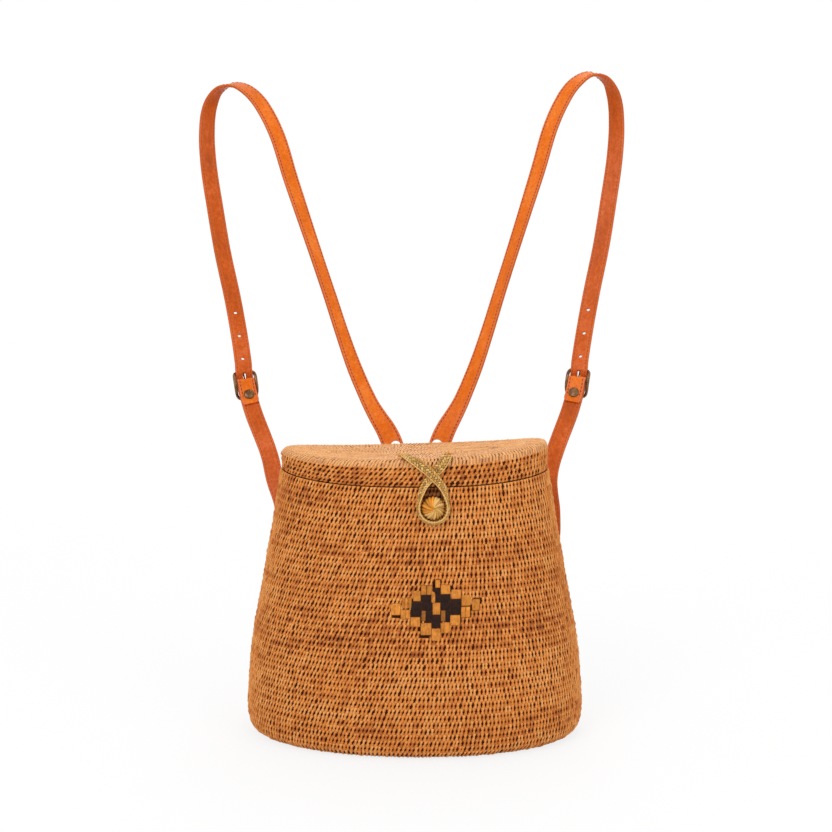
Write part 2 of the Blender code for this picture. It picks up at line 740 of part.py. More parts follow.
def buckle_tongue(route, name):
    """A pin looped round the bar, whose tip rests on the frame's top bar."""
    ring = BAR_RADIUS + TONGUE_CLEARANCE + TONGUE_RADIUS
    tip = BUCKLE_LENGTH / 2 - BAR_RADIUS
    rest = BUCKLE_TOP_OUT + ring
    rows = []
    for turn in range(270, 0, -30):
        angle = math.radians(turn)
        rows.append((-ring * math.sin(angle), ring * math.cos(angle)))
    rows += [(0, ring), (tip / 2, (ring + rest) / 2), (tip, rest),
             (tip + BAR_RADIUS, rest - TONGUE_RADIUS / 2)]
    points = [route.local(u, n) for u, n in rows]
    rings = []
    for point, ahead in zip(points, tangents(points)):
        out = route.across.cross(ahead)
        rings.append([point + (route.across * math.cos(a) + out * math.sin(a)) * TONGUE_RADIUS
                      for a in (2 * math.pi * k / 8 for k in range(8))])
    return place(name, loft(name, rings), "bronze")


def rivet(name, placement, grip):
    """A domed rivet: local Z points out of its head, and its grip lies below the head."""
    dome = []
    lift = 2 * GAP
    for turn in range(0, 91, 30):
        angle = math.radians(turn)
        dome.append((RIVET_HEAD * math.sin(angle), lift + RIVET_DOME * math.cos(angle)))
    tail = [(RIVET_SHANK, lift), (RIVET_SHANK, -grip), (RIVET_TAIL, -grip),
            (RIVET_TAIL, -grip - RIVET_TAIL_THICK / 2), (RIVET_SHANK, -grip - RIVET_TAIL_THICK),
            (0, -grip - RIVET_TAIL_THICK)]
    return turned(name, dome + tail, placement, "bronze")


def washer(name, placement, level):
    """A flat ring under a rivet's tail, at a level along local Z."""
    inner = RIVET_SHANK + GAP
    low = level - WASHER_THICK
    profile = [(inner, level), (WASHER_RADIUS, level), (WASHER_RADIUS, low), (inner, low)]
    return turned(name, profile, placement, "bronze", closed=True)


def fix_to_wall(strap, body, end, side, x, z):
    """Rivet a strap's end through the back wall onto a washer inside."""
    point, normal = wall_point(x, z, 1)
    flip = Vector((SIDES[side], 1, 1))
    placement = upright_on(point * flip, normal * flip)
    hole = rod(end + "_hole_" + side, RIVET_SHANK + GAP, -WALL - OVERRUN, STRAP_THICK + OVERRUN, placement)
    combine(body, hole, "DIFFERENCE")
    combine(strap, hole, "DIFFERENCE")
    lie = WALL + 5 * GAP / 2
    washer(end + "_washer_" + side, placement, -lie)
    head = placement @ Matrix.Translation(UP * (GAP + STRAP_THICK))
    rivet(end + "_rivet_" + side, head, GAP + STRAP_THICK + lie + WASHER_THICK + GAP)


def round_slot(name, placement):
    """A round-ended slot cutter whose upper end is at the placement's origin."""
    shape = bmesh.new()
    bmesh.ops.create_cone(shape, cap_ends=True, segments=RING_SIDES, radius1=SLOT_WIDTH / 2,
                          radius2=SLOT_WIDTH / 2, depth=2 * OVERRUN + STRAP_THICK)
    for vert in shape.verts:
        vert.co.y -= SLOT_WIDTH / 2
        if vert.co.y < -SLOT_WIDTH / 2:
            vert.co.y -= SLOT_LENGTH - SLOT_WIDTH
    shape.transform(placement)
    mesh = bpy.data.meshes.new(name)
    shape.to_mesh(mesh)
    shape.free()
    return cutter(name, mesh)


def strap_holes(route, upper, lower, side):
    """The eyelets, the buckle's slots, the rivet's hole and the slot near the root."""
    bar = route.lengths[route.bar]
    for k in (1, 2):
        point, _, _, out = route.sample(bar - k * HOLE_PITCH)
        hole = rod("eyelet_%s_%d" % (side, k), HOLE_RADIUS, -OVERRUN, OVERRUN, upright_on(point, out))
        combine(upper, hole, "DIFFERENCE")
    low = BAR_RADIUS + 2 * TONGUE_CLEARANCE + 2 * TONGUE_RADIUS
    high = BUCKLE_LENGTH / 2 - 3 * BAR_RADIUS
    fold = BAR_RADIUS + BAR_CLEARANCE + STRAP_THICK + GAP / 2
    slot = bmesh.new()
    bmesh.ops.create_cube(slot, size=1)
    lie = axes(route.local((high - low) / 2, (fold - low) / 2), route.across, route.out)
    bmesh.ops.scale(slot, vec=(TONGUE_SLOT, high + low, fold + low), verts=slot.verts)
    slot.transform(lie)
    mesh = bpy.data.meshes.new("tongue_slot_" + side)
    slot.to_mesh(mesh)
    slot.free()
    tool = cutter("tongue_slot_" + side, mesh)
    combine(upper, tool, "DIFFERENCE")
    combine(lower, tool, "DIFFERENCE")


def root_slot(route, upper, side):
    """The round-ended slot where the strap leans away from the middle of the back."""
    heights = [point.z for point in route.points[:route.bar]]
    i = next(k for k, z in enumerate(heights) if z > STRAP_AXIS_Z + SLOT_RISE)
    ahead = (route.points[i + 1] - route.points[i - 1]).normalized()
    across = route.sideways[i]
    across = (across - ahead * across.dot(ahead)).normalized()
    centre = Vector((-route.sign, 0, 0)).dot(across)
    top = route.points[i] + across * math.copysign(SLOT_OFFSET, centre) + ahead * SLOT_WIDTH / 2
    placement = axes(top, across, across.cross(ahead))
    combine(upper, round_slot("root_slot_" + side, placement), "DIFFERENCE")


def strap(side, body):
    """One shoulder strap with its root, foot, buckle and rivets."""
    route = StrapRoute(side)
    root_points, root_sides, root_widths = route.stretch(0, route.root_axis)
    root_points[-1] = clear_of_nose(route.points, route.root_axis, -1)
    root = build_band("strap_root_" + side, (root_points, root_sides, root_widths), "leather")
    foot_points, foot_sides, foot_widths = route.stretch(route.foot_axis, len(route.points) - 1)
    foot_points[0] = clear_of_nose(route.points, route.foot_axis, 1)
    foot = build_band("strap_foot_" + side, (foot_points, foot_sides, foot_widths), "leather")
    upper = upper_strap(route, "strap_upper_" + side)
    lower = lower_strap(route, "strap_lower_" + side)
    buckle_frame(route, "buckle_frame_" + side)
    buckle_tongue(route, "buckle_tongue_" + side)
    strap_holes(route, upper, lower, side)
    point, across, _, out = route.sample(route.lengths[route.bar] + RIVET_DOWN)
    placement = upright_on(point - out * (GAP / 2 + STRAP_THICK), -out)
    rivet("flap_rivet_" + side, placement, GAP + 2 * STRAP_THICK + GAP)
    hole = rod("flap_hole_" + side, RIVET_SHANK + GAP, -OVERRUN - 2 * STRAP_THICK, OVERRUN, placement)
    pocket = rod("flap_pocket_" + side, RIVET_TAIL + GAP,
                 -3 * GAP - 2 * STRAP_THICK - RIVET_TAIL_THICK, -2 * STRAP_THICK - GAP, placement)
    combine(lower, hole, "DIFFERENCE")
    combine(upper, pocket, "DIFFERENCE")
    root_slot(route, upper, side)
    fix_to_wall(root, body, "root", side, ROOT_X, (ROOT_TOP + ROOT_END) / 2)
    fix_to_wall(foot, body, "foot", side, FOOT_X, (FOOT_TOP + FOOT_END) / 2)


def front_out(x, z, out):
    """A point in front of the lid's or the body's face."""
    if z > BODY_HEIGHT:
        across = abs(2 * x / LID_WIDTH) ** PLAN_POWER
        y = LID_DEPTH / 2 * (1 - across) ** (1 / PLAN_POWER)
        corner = max(0, z - lid_top(x) + LID_EDGE_RADIUS)
        y -= LID_EDGE_RADIUS - math.sqrt(max(0, LID_EDGE_RADIUS ** 2 - corner ** 2))
        return Vector((x, -y - out, z))
    return wall_point(x, z, -1)[0] - BACK * out


def band_axis():
    """The line that the closure loop swings about, on the lid's top near its front edge."""
    y = -LID_DEPTH / 2 + BAND_AXIS_IN
    z = lid_top(CLOSURE_X) + BAND_LIFT + GAP + BAND_THICK / 2
    return y, z


def closure_loop():
    """A flat plait that hangs over the lid's edge, crosses itself and goes round the knob."""
    y, z = band_axis()
    rest = BAND_LIFT + GAP + BAND_THICK / 2
    ride = KNOB_DEPTH / 2 + GAP
    radius = KNOB_RADIUS + LOOP_CLEARANCE + BAND_THICK / 2
    cross_z = lid_top(CLOSURE_X) - BAND_CROSS_DROP
    top = lid_top(CLOSURE_X)
    left_x, right_x = CLOSURE_X - BAND_LEFT, CLOSURE_X + BAND_RIGHT
    edge_y = -LID_DEPTH / 2 + LID_EDGE_RADIUS / 2 - rest
    over = rest + BAND_THICK + 2 * GAP
    flat = Vector((1, 0, 0))
    deep = Vector((0, -1, 0))
    neck_out, neck_up = (radius * share for share in BAND_NECK_SHARES)
    neck_turn, neck_deep = BAND_NECK_TURN_SHARES
    edge_z = top + rest * BAND_EDGE_RISE_SHARE

    def leg(anchor_x, number, out, neck_sign):
        """From the lid's top over its edge to the crossing and on to the neck of the loop."""
        across = -flat * neck_sign if number else flat
        edge_x = anchor_x + (CLOSURE_X - anchor_x) * BAND_EDGE_SHARES[number]
        slope_x = anchor_x + (CLOSURE_X - anchor_x) * BAND_SLOPE_SHARES[number]
        return [
            (Vector((anchor_x, y, z)), across),
            (Vector((edge_x, edge_y, edge_z)), across),
            (front_out(slope_x, (top + cross_z) / 2, out), across),
            (front_out(CLOSURE_X, cross_z - BAND_THICK, out), across),
            (front_out(CLOSURE_X + neck_sign * neck_out, KNOB_HEIGHT + neck_up, ride),
             across * neck_turn + deep * neck_deep),
        ]

    rows = leg(left_x, 0, over, 1)
    centre, normal = wall_point(CLOSURE_X, KNOB_HEIGHT, -1)
    climb = UP - normal * normal.z
    for turn in BAND_ROUND_TURNS:
        angle = math.radians(turn)
        spot = centre + climb * radius * math.sin(angle) + normal * ride
        spot.x = CLOSURE_X + radius * math.cos(angle)
        rows.append((spot, normal))
    rows += [(point, -across if across.x > 0 else across)
             for point, across in leg(right_x, 1, rest, -1)[::-1]]
    table = [tuple(p) + tuple(s) for p, s in rows]
    stations, _ = smooth_route(table, BAND_STEP)
    points = [Vector(row[:3]) for row in stations]
    sideways = [Vector(row[3:]).normalized() for row in stations]
    mesh = band("closure_loop", points, sideways, [BAND_WIDTH] * len(points), BAND_THICK,
                round_start=True, round_end=True)
    place("closure_loop", mesh, "plait")


def loop_anchor(side, x, shell):
    """The tied end of the plait, which goes down through the lid to a knot inside."""
    y, z = band_axis()
    gap = BAND_THICK + 2 * GAP
    rows = [(Vector((x, y + gap + ANCHOR_RUN * run, z - BAND_THICK * drop)), 1.0)
            for run, drop in ANCHOR_BEND_SHARES]
    down_y = y + gap + ANCHOR_RUN
    knot_top = lid_top(x) - LID_TOP - LID_DISH - 2 * GAP
    rows.append((Vector((x, down_y, knot_top + GAP)), 1.0))
    rows += [(Vector((x, down_y, knot_top - ANCHOR_KNOT * depth)), size)
             for depth, size in ANCHOR_KNOT_SHARES]
    points = [row[0] for row in rows]
    forward = tangents(points)
    across = Vector((1, 0, 0))
    rings = []
    for (point, size), ahead in zip(rows, forward):
        rings.append(band_section(point, across, across.cross(ahead), BAND_WIDTH, BAND_THICK * size))
    place("loop_anchor_" + side, loft("loop_anchor_" + side, rings), "plait")
    slot = bmesh.new()
    bmesh.ops.create_cube(slot, size=1)
    room = 3 * GAP
    bmesh.ops.scale(slot, vec=(BAND_WIDTH + room, BAND_THICK + 2 * room, 2 * LID_TOP + OVERRUN), verts=slot.verts)
    bmesh.ops.translate(slot, vec=(x, y + gap + ANCHOR_RUN, lid_top(x) - LID_TOP / 2), verts=slot.verts)
    mesh = bpy.data.meshes.new("anchor_slot_" + side)
    slot.to_mesh(mesh)
    slot.free()
    combine(shell, cutter("anchor_slot_" + side, mesh), "DIFFERENCE")


def closure_button(body):
    """A round knob on a knotted cord that comes through the front wall."""
    point, normal = wall_point(CLOSURE_X, KNOB_HEIGHT, -1)
    placement = upright_on(point, normal)
    lift = 2 * GAP
    seat = CORD_RADIUS + GAP
    edge = KNOB_DEPTH * KNOB_EDGE_SHARE
    dome = [(0, lift + KNOB_DEPTH)]
    for turn in (25, 50, 75, 90):
        angle = math.radians(turn)
        dome.append((KNOB_RADIUS * math.sin(angle), lift + edge + (KNOB_DEPTH - edge) * math.cos(angle)))
    dome += [(KNOB_RADIUS * width, lift + edge * height) for width, height in KNOB_FOOT_SHARES]
    dome += [(seat, lift), (seat, lift + CORD_SEAT), (0, lift + CORD_SEAT)]
    turned("closure_button", dome, placement, "plait")
    knot = -WALL - 2 * GAP
    profile = [(0, lift + CORD_SEAT - GAP), (CORD_RADIUS, lift + CORD_SEAT - GAP), (CORD_RADIUS, knot)]
    for turn in (35, 70, 110, 145):
        angle = math.radians(turn)
        profile.append((KNOT_RADIUS * math.sin(angle), knot - KNOT_RADIUS * (1 - math.cos(angle))))
    profile.append((0, knot - 2 * KNOT_RADIUS))
    turned("button_cord", profile, placement, "plait")
    hole = rod("cord_hole", CORD_RADIUS + GAP, -WALL - OVERRUN, OVERRUN, placement)
    combine(body, hole, "DIFFERENCE")


def main():
    clear_scene()
    body = basket_body()
    rim_collar()
    shell = lid()
    hinge_rings()
    closure_loop()
    loop_anchor("left", CLOSURE_X - BAND_LEFT, shell)
    loop_anchor("right", CLOSURE_X + BAND_RIGHT, shell)
    closure_button(body)
    for side in SIDES:
        strap(side, body)


main()
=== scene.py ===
"""Dresses the pack basket: woven cane, plaited closure, leather straps, stage and camera."""
import math

import bmesh
import bpy
import numpy as np
from bpy.props import FloatProperty, FloatVectorProperty, IntProperty, PointerProperty
from mathutils import Matrix, Vector
from mathutils.kdtree import KDTree


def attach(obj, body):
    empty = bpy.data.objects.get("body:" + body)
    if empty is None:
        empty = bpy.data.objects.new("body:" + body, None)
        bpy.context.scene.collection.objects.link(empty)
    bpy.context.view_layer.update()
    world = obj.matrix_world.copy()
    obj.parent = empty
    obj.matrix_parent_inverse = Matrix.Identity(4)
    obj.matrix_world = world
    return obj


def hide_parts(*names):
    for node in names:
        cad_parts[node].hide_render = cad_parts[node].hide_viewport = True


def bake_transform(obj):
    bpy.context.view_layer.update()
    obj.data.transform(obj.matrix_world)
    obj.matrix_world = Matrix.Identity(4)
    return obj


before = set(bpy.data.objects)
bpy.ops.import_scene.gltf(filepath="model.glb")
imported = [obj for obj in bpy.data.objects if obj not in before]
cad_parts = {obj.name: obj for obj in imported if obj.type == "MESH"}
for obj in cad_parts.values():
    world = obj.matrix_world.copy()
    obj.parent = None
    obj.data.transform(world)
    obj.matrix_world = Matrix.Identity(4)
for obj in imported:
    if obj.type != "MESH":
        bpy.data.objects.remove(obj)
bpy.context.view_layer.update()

bl_info = {
    "name": "Pack Basket",
    "version": (1, 0, 0),
    "blender": (4, 5, 0),
    "location": "3D View > Sidebar > Pack Basket",
    "description": "Builds the weave, closure, straps and stage of a pack basket",
    "category": "Object",
}

UP = Vector((0, 0, 1))
BACK = Vector((0, 1, 0))

# Basket
BASE_WIDTH = 0.2636
BASE_DEPTH = 0.163
RIM_WIDTH = 0.2085
RIM_DEPTH = 0.115
BODY_HEIGHT = 0.198
RIM_END_RISE = 0.007
WALL = 0.0042
FLOOR = 0.005
COIL_ROWS = 42
LID_ROWS = 4
PLAN_POWER = 2.15
BODY_PROFILE_SHARES = (
    (0.0, 0.72), (0.02, 0.90), (0.05, 0.97), (0.11, 1.0), (0.22, 0.945), (0.32, 0.885),
    (0.42, 0.78), (0.51, 0.65), (0.61, 0.51), (0.71, 0.385), (0.80, 0.25), (0.90, 0.13),
    (0.97, 0.03), (1.0, 0.0),
)
GAP = 0.0003
ROUND_POINTS = 360
SEAM_HALF = 0.0004

# Lid
LID_WIDTH = 0.207
LID_DEPTH = 0.1135
LID_HEIGHT = 0.020
LID_SKEW = 0.0033
LID_TOP = 0.005
LID_DISH = 0.0012
LID_EDGE_RADIUS = 0.0045
LID_BULGE = 0.0008
LID_DISH_SHARES = ((0.0, 1.0), (0.14, 1.0), (0.45, 0.95), (0.74, 0.55), (0.84, 0.0), (1.0, 0.0))

# Knob and plait
CLOSURE_X = 0.0154
KNOB_HEIGHT = 0.183
KNOB_RADIUS = 0.0090
KNOB_DEPTH = 0.0085
KNOB_CORE = ((0.0, 0.5), (0.15, 0.85), (0.4, 0.97), (0.65, 0.90), (0.85, 0.65), (0.97, 0.30), (1.0, 0.05))
BAND_WIDTH = 0.0060
BAND_LEG_WIDTH = 0.0076
BAND_THICK = 0.0022
BAND_AXIS_IN = 0.0085
BAND_LIFT = 0.0006
BAND_CROSS_DROP = 0.009
BAND_LEFT = 0.0209
BAND_RIGHT = 0.0101
BAND_EDGE_SHARES = (0.2, 0.1)
BAND_SLOPE_SHARES = (0.65, 0.45)
BAND_EDGE_RISE_SHARE = 0.3
BAND_NECK_SHARES = (0.62, 1.45)
BAND_NECK_TURN_SHARES = (0.9, 0.44)
BAND_ROUND_TURNS = (20, 0, -30, -60, -90, -120, -150, -180, -200)
BAND_ROUND_LEAN = math.radians(16)
LOOP_CLEARANCE = 0.0001
ANCHOR_RUN = 0.006
ANCHOR_KNOT = 0.0052

# Straps
SIDES = {"left": -1.0, "right": 1.0}
STRAP_WIDTH = 0.015
STRAP_THICK = 0.0026
STRAP_AXIS_Y = 0.074
STRAP_AXIS_Z = 0.150
STRAP_BACK = 0.118
STRAP_REACH = {"left": 0.196, "right": 0.179}
STRAP_RISE = {"left": 0.383, "right": 0.391}
STRAP_STEP = 0.011
ROOT_X = 0.0145
ROOT_TOP = 0.126
ROOT_END = 0.096
ROOT_FLARE_SHARE = 1.25
FOOT_X = 0.100
FOOT_AXIS_X = 0.114
FOOT_TOP = 0.066
FOOT_END = 0.030
FOOT_BEND_Y = 0.0715
FOOT_BEND_Z = 0.108
HINGE_RUN = 0.010
HINGE_LEAN = 0.0045
SLOT_WIDTH = 0.0088
SLOT_LENGTH = 0.017
SLOT_RISE = 0.061
SLOT_SINK = 0.0034
SLOT_OFFSET = 0.0023
HOLE_RADIUS = 0.0015
HOLE_PITCH = 0.023
BUCKLE_ROW = 23
BAR_RADIUS = 0.0011
BAR_CLEARANCE = 0.0005
BUCKLE_LENGTH = 0.0255
BUCKLE_TOP_OUT = 0.002
BUCKLE_FOOT_OUT = 0.0083
BUCKLE_POWER = 5
BUCKLE_EASE = 0.034
FLAP_LENGTH = 0.021
TAIL_LENGTH = 0.078
HOOP_SIDE = 0.00145
HOOP_DEPTH = 0.0012
HOOP_GAP = 0.0004
HOOP_STEPS = 56
HOOP_SECTION = ((1, 0), (0.92, 0.62), (0.55, 0.95), (0, 1), (-0.55, 0.95), (-0.92, 0.62),
                (-1, 0), (-0.92, -0.62), (-0.55, -0.95), (0, -1), (0.55, -0.95), (0.92, -0.62))
TONGUE_RADIUS = 0.0007
TONGUE_SLOT = 0.0028
TONGUE_CLEARANCE = 0.0004
RIVET_DOWN = 0.0125
STRAP_SHARES = (
    (0.077, 0.06, 0.06, 0.0, 1.25), (0.087, 0.11, 0.11, 0.0, 1.25),
    (0.112, 0.167, 0.167, 0.03, 1.22), (0.206, 0.25, 0.25, 0.17, 1.0),
    (0.280, 0.33, 0.33, 0.23, 1.0), (0.340, 0.41, 0.41, 0.27, 1.0),
    (0.395, 0.49, 0.49, 0.285, 1.0), (0.455, 0.575, 0.575, 0.285, 1.0),
    (0.515, 0.66, 0.66, 0.26, 1.0), (0.592, 0.77, 0.77, 0.21, 1.0),
    (0.674, 0.89, 0.885, 0.185, 1.0), (0.720, 0.935, 0.93, 0.19, 1.0),
    (0.790, 0.98, 0.965, 0.25, 1.0), (0.867, 1.0, 0.985, 0.38, 1.0),
    (0.940, 0.988, 0.985, 0.56, 1.0), (0.981, 0.955, 0.98, 0.71, 1.0),
    (1.000, 0.895, 0.97, 0.80, 1.0), (0.997, 0.835, 0.955, 0.84, 1.0),
    (0.985, 0.78, 0.94, 0.87, 1.0), (0.965, 0.72, 0.915, 0.89, 1.0),
    (0.923, 0.605, 0.85, 0.91, 1.0), (0.865, 0.485, 0.75, 0.91, 1.0),
    (0.817, 0.38, 0.61, 0.90, 1.0), (0.783, 0.295, 0.48, 0.89, 1.0),
    (0.736, 0.225, 0.375, 0.90, 1.0), (0.690, 0.175, 0.29, 0.92, 1.0),
    (0.652, 0.13, 0.21, 0.95, 1.0), (0.627, 0.085, 0.125, 0.98, 1.0),
)


def linear(red, green, blue):
    """A colour named by its 0 to 255 screen values, as the light value that shaders take."""
    parts = []
    for value in (red, green, blue):
        value = value / 255
        parts.append(value / 12.92 if value <= 0.04045 else ((value + 0.055) / 1.055) ** 2.4)
    return tuple(parts)


def length_of(name, description, default):
    return FloatProperty(name=name, description=description, default=default, min=0.00005,
                         unit="LENGTH", precision=5)


def colour_of(name, description, red, green, blue):
    return FloatVectorProperty(name=name, description=description, subtype="COLOR", size=3,
                               min=0, max=1, default=linear(red, green, blue))


class BasketSizes(bpy.types.PropertyGroup):
    """Sizes of the weave, the plait and the stitching."""
    row: length_of("Row", "Height of one row of coil on the body", 0.00478)
    pitch: length_of("Stitch pitch", "Distance from one wrapped strand to the next", 0.0030)
    strand_out: length_of("Strand depth", "How far a strand stands out of the wall", 0.0010)
    lid_row: length_of("Lid row", "Height of one row of coil on the lid's side", 0.0047)
    lid_pitch: length_of("Lid pitch", "Strand distance on the lid's side", 0.0037)
    top_pitch: length_of("Top pitch", "Strand distance on the lid's top", 0.0026)
    inner_pitch: length_of("Inner pitch", "Strand distance inside and underneath", 0.0036)
    plait_strand: length_of("Plait strand", "Radius of one strand of the plait", 0.00078)
    plait_turn: length_of("Plait turn", "Length in which a strand of the plait comes round", 0.0125)
    bead_width: length_of("Bead width", "Width of one stitch of the plait", 0.0017)
    bead_length: length_of("Bead length", "Length of one stitch of the plait", 0.0025)
    bead_depth: length_of("Bead depth", "Thickness of one stitch of the plait", 0.0011)
    bead_pitch: length_of("Bead pitch", "Distance from one stitch of the plait to the next", 0.0022)
    bead_lean: FloatProperty(name="Bead lean", description="Sideways lean of the plait's stitches",
                             default=0.45, min=0, max=1)
    thread: length_of("Thread", "Radius of the stitching thread", 0.00046)
    thread_pitch: length_of("Thread pitch", "Distance from one stitch to the next", 0.0033)
    thread_inset: length_of("Thread inset", "How far the stitching stands in from the edge", 0.0019)
    seed: IntProperty(name="Seed", description="Number that fixes the natural variation", default=7)


class BasketColours(bpy.types.PropertyGroup):
    """Colours of the materials."""
    cane_light: colour_of("Cane, light", "The lightest strands", 244, 176, 102)
    cane: colour_of("Cane", "The ordinary strands", 228, 142, 62)
    cane_dark: colour_of("Cane, dark", "The darkest strands", 172, 88, 32)
    # Painted sheen: the pale colour blended over the lid's top strands, which face up towards the light.
    cane_top_sheen: colour_of("Cane, painted sheen", "The painted sheen on the lid's top strands", 250, 225, 175)
    core: colour_of("Core", "The shaded core between the strands", 64, 26, 8)
    black: colour_of("Black strip", "The dark strips of the ornament", 22, 17, 16)
    tan: colour_of("Tan strip", "The pale strips of the ornament", 228, 146, 60)
    brown: colour_of("Brown strip", "The brown strips of the ornament", 104, 60, 34)
    plait: colour_of("Plait", "The plaited loop", 208, 154, 74)
    plait_pale: colour_of("Plait, pale", "The cords along the plait's edges", 240, 196, 120)
    # Also painted light on the knob's upper left strands.
    plait_orange: colour_of("Plait, orange", "The warm strands of the knob and the tufts", 232, 148, 32)
    leather: colour_of("Leather", "The finished side of the straps", 242, 116, 0)
    leather_back: colour_of("Leather, reverse", "The inner side of the straps", 210, 92, 14)
    # Also the painted highlight at the top of the reverse side's mottling.
    leather_rail_and_highlight: colour_of("Leather, edges and highlights", "The pressed edges of the straps, and the painted highlights of their reverse", 220, 112, 60)
    # Painted highlight: the lightest stop of the finished side's mottling.
    leather_highlight: colour_of("Leather, painted highlight", "Painted highlights on the straps' finished side", 242, 138, 58)
    thread: colour_of("Thread", "The stitching", 138, 50, 16)
    bronze: colour_of("Bronze", "The buckles and rivets", 122, 88, 60)


# Reading the basket's surfaces

def oval(half_width, half_depth, angles, power=PLAN_POWER):
    """Points of the basket's oval plan at the given angles."""
    c, s = np.cos(angles), np.sin(angles)
    x = half_width * np.sign(c) * np.abs(c) ** (2 / power)
    y = half_depth * np.sign(s) * np.abs(s) ** (2 / power)
    return x, y


def even_oval(half_width, half_depth, count=ROUND_POINTS):
    """Points evenly spaced round the oval, from the middle of the back."""
    x, y = oval(half_width, half_depth, np.linspace(0, 2 * np.pi, 8 * count + 1) + np.pi / 2)
    run = np.concatenate([[0], np.cumsum(np.hypot(np.diff(x), np.diff(y)))])
    wanted = np.arange(count) / count * run[-1]
    return np.interp(wanted, run, x), np.interp(wanted, run, y)


def seam_rise(x):
    """The rim and the lid's edge sweep up towards the two ends."""
    return RIM_END_RISE * np.minimum(1, np.abs(2 * x / RIM_WIDTH)) ** 3


def body_halves(share):
    spread = np.interp(share, *zip(*BODY_PROFILE_SHARES))
    return ((RIM_WIDTH + spread * (BASE_WIDTH - RIM_WIDTH)) / 2,
            (RIM_DEPTH + spread * (BASE_DEPTH - RIM_DEPTH)) / 2)


def body_ring(share, inset):
    half_width, half_depth = body_halves(share)
    x, y = even_oval(half_width - inset, half_depth - inset)
    lift = max(0, 2 * share - 1) ** 2
    return np.stack([x, y, BODY_HEIGHT * share + lift * seam_rise(x)], axis=1)


def level_ring(half_width, half_depth, height):
    x, y = even_oval(half_width, half_depth)
    return np.stack([x, y, np.full_like(x, height)], axis=1)


def lid_top(x):
    return BODY_HEIGHT + GAP + seam_rise(x) + LID_HEIGHT + LID_SKEW * 2 * x / LID_WIDTH


def lid_dip(x, y):
    """How far the lid's top lies below its edge at a place."""
    reach = ((np.abs(2 * x / LID_WIDTH) ** PLAN_POWER + np.abs(2 * y / LID_DEPTH) ** PLAN_POWER)
             ** (1 / PLAN_POWER))
    return LID_DISH * np.interp(reach, *zip(*LID_DISH_SHARES))


def lid_side_ring(share, inset):
    x, y = even_oval(LID_WIDTH / 2 - inset, LID_DEPTH / 2 - inset)
    low = BODY_HEIGHT + GAP + seam_rise(x)
    return np.stack([x, y, low + share * (lid_top(x) - low)], axis=1)


def lid_disc_ring(inset, drop=0.0):
    x, y = even_oval(LID_WIDTH / 2 - inset, LID_DEPTH / 2 - inset)
    return np.stack([x, y, lid_top(x) - lid_dip(x, y) - drop], axis=1)


class WovenSurface:
    """A wall made of rings, read by length along its profile and by share round each ring."""

    def __init__(self, rings):
        self.grid = np.array(rings)
        steps = np.linalg.norm(np.diff(self.grid, axis=0), axis=2).mean(axis=1)
        self.lengths = np.concatenate([[0], np.cumsum(steps)])
        onward = np.roll(self.grid, -1, axis=1)
        self.rounds = np.linalg.norm(onward - self.grid, axis=2).sum(axis=1)
        around = onward - np.roll(self.grid, 1, axis=1)
        along = np.gradient(self.grid, self.lengths, axis=0)
        normals = np.cross(around, along)
        self.normals = normals / np.linalg.norm(normals, axis=2, keepdims=True)

    def round_at(self, length):
        return np.interp(length, self.lengths, self.rounds)

    def at(self, length, share, out):
        row = np.interp(length, self.lengths, np.arange(len(self.lengths)))
        i = np.minimum(row.astype(int), len(self.lengths) - 2)
        t = (row - i)[..., None]
        column = (share % 1.0) * ROUND_POINTS
        j = column.astype(int) % ROUND_POINTS
        k = (j + 1) % ROUND_POINTS
        f = (column - np.floor(column))[..., None]

        def read(table):
            low = table[i, j] * (1 - f) + table[i, k] * f
            high = table[i + 1, j] * (1 - f) + table[i + 1, k] * f
            return low * (1 - t) + high * t

        return read(self.grid) + read(self.normals) * out[..., None]


def wall_point(x, z, side, out=0.0):
    """A point of the body's outer wall, on the front (-1) or back (1), and the wall's normal there."""
    def depth(x, z):
        half_width, half_depth = body_halves(z / BODY_HEIGHT)
        across = min(1, abs(x) / half_width) ** PLAN_POWER
        return half_depth * (1 - across) ** (1 / PLAN_POWER)
    y = depth(x, z)
    slope_x = (depth(x + GAP, z) - depth(x - GAP, z)) / (2 * GAP)
    slope_z = (depth(x, z + WALL) - depth(x, z - WALL)) / (2 * WALL)
    normal = Vector((-slope_x, 1, -slope_z)).normalized()
    point = Vector((x, y, z)) + normal * out
    return Vector((point.x, side * point.y, point.z)), Vector((normal.x, side * normal.y, normal.z))


# Making and keeping pieces


def new_piece(name, mesh, body, finish, *replaced):
    """Put a finished mesh in the scene as a piece that rides on a body."""
    old = bpy.data.objects.get(name)
    if old:
        bpy.data.objects.remove(old, do_unlink=True)
    piece = bpy.data.objects.new(name, mesh)
    bpy.context.scene.collection.objects.link(piece)
    mesh.materials.clear()
    mesh.materials.append(finish)
    if body:
        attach(piece, body)
    if replaced:
        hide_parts(*replaced)
    return piece


def dress(node, finish):
    """Give a carried-over part its material."""
    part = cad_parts[node]
    if not part.material_slots:
        part.data.materials.append(finish)
    for place in part.material_slots:
        place.material = finish


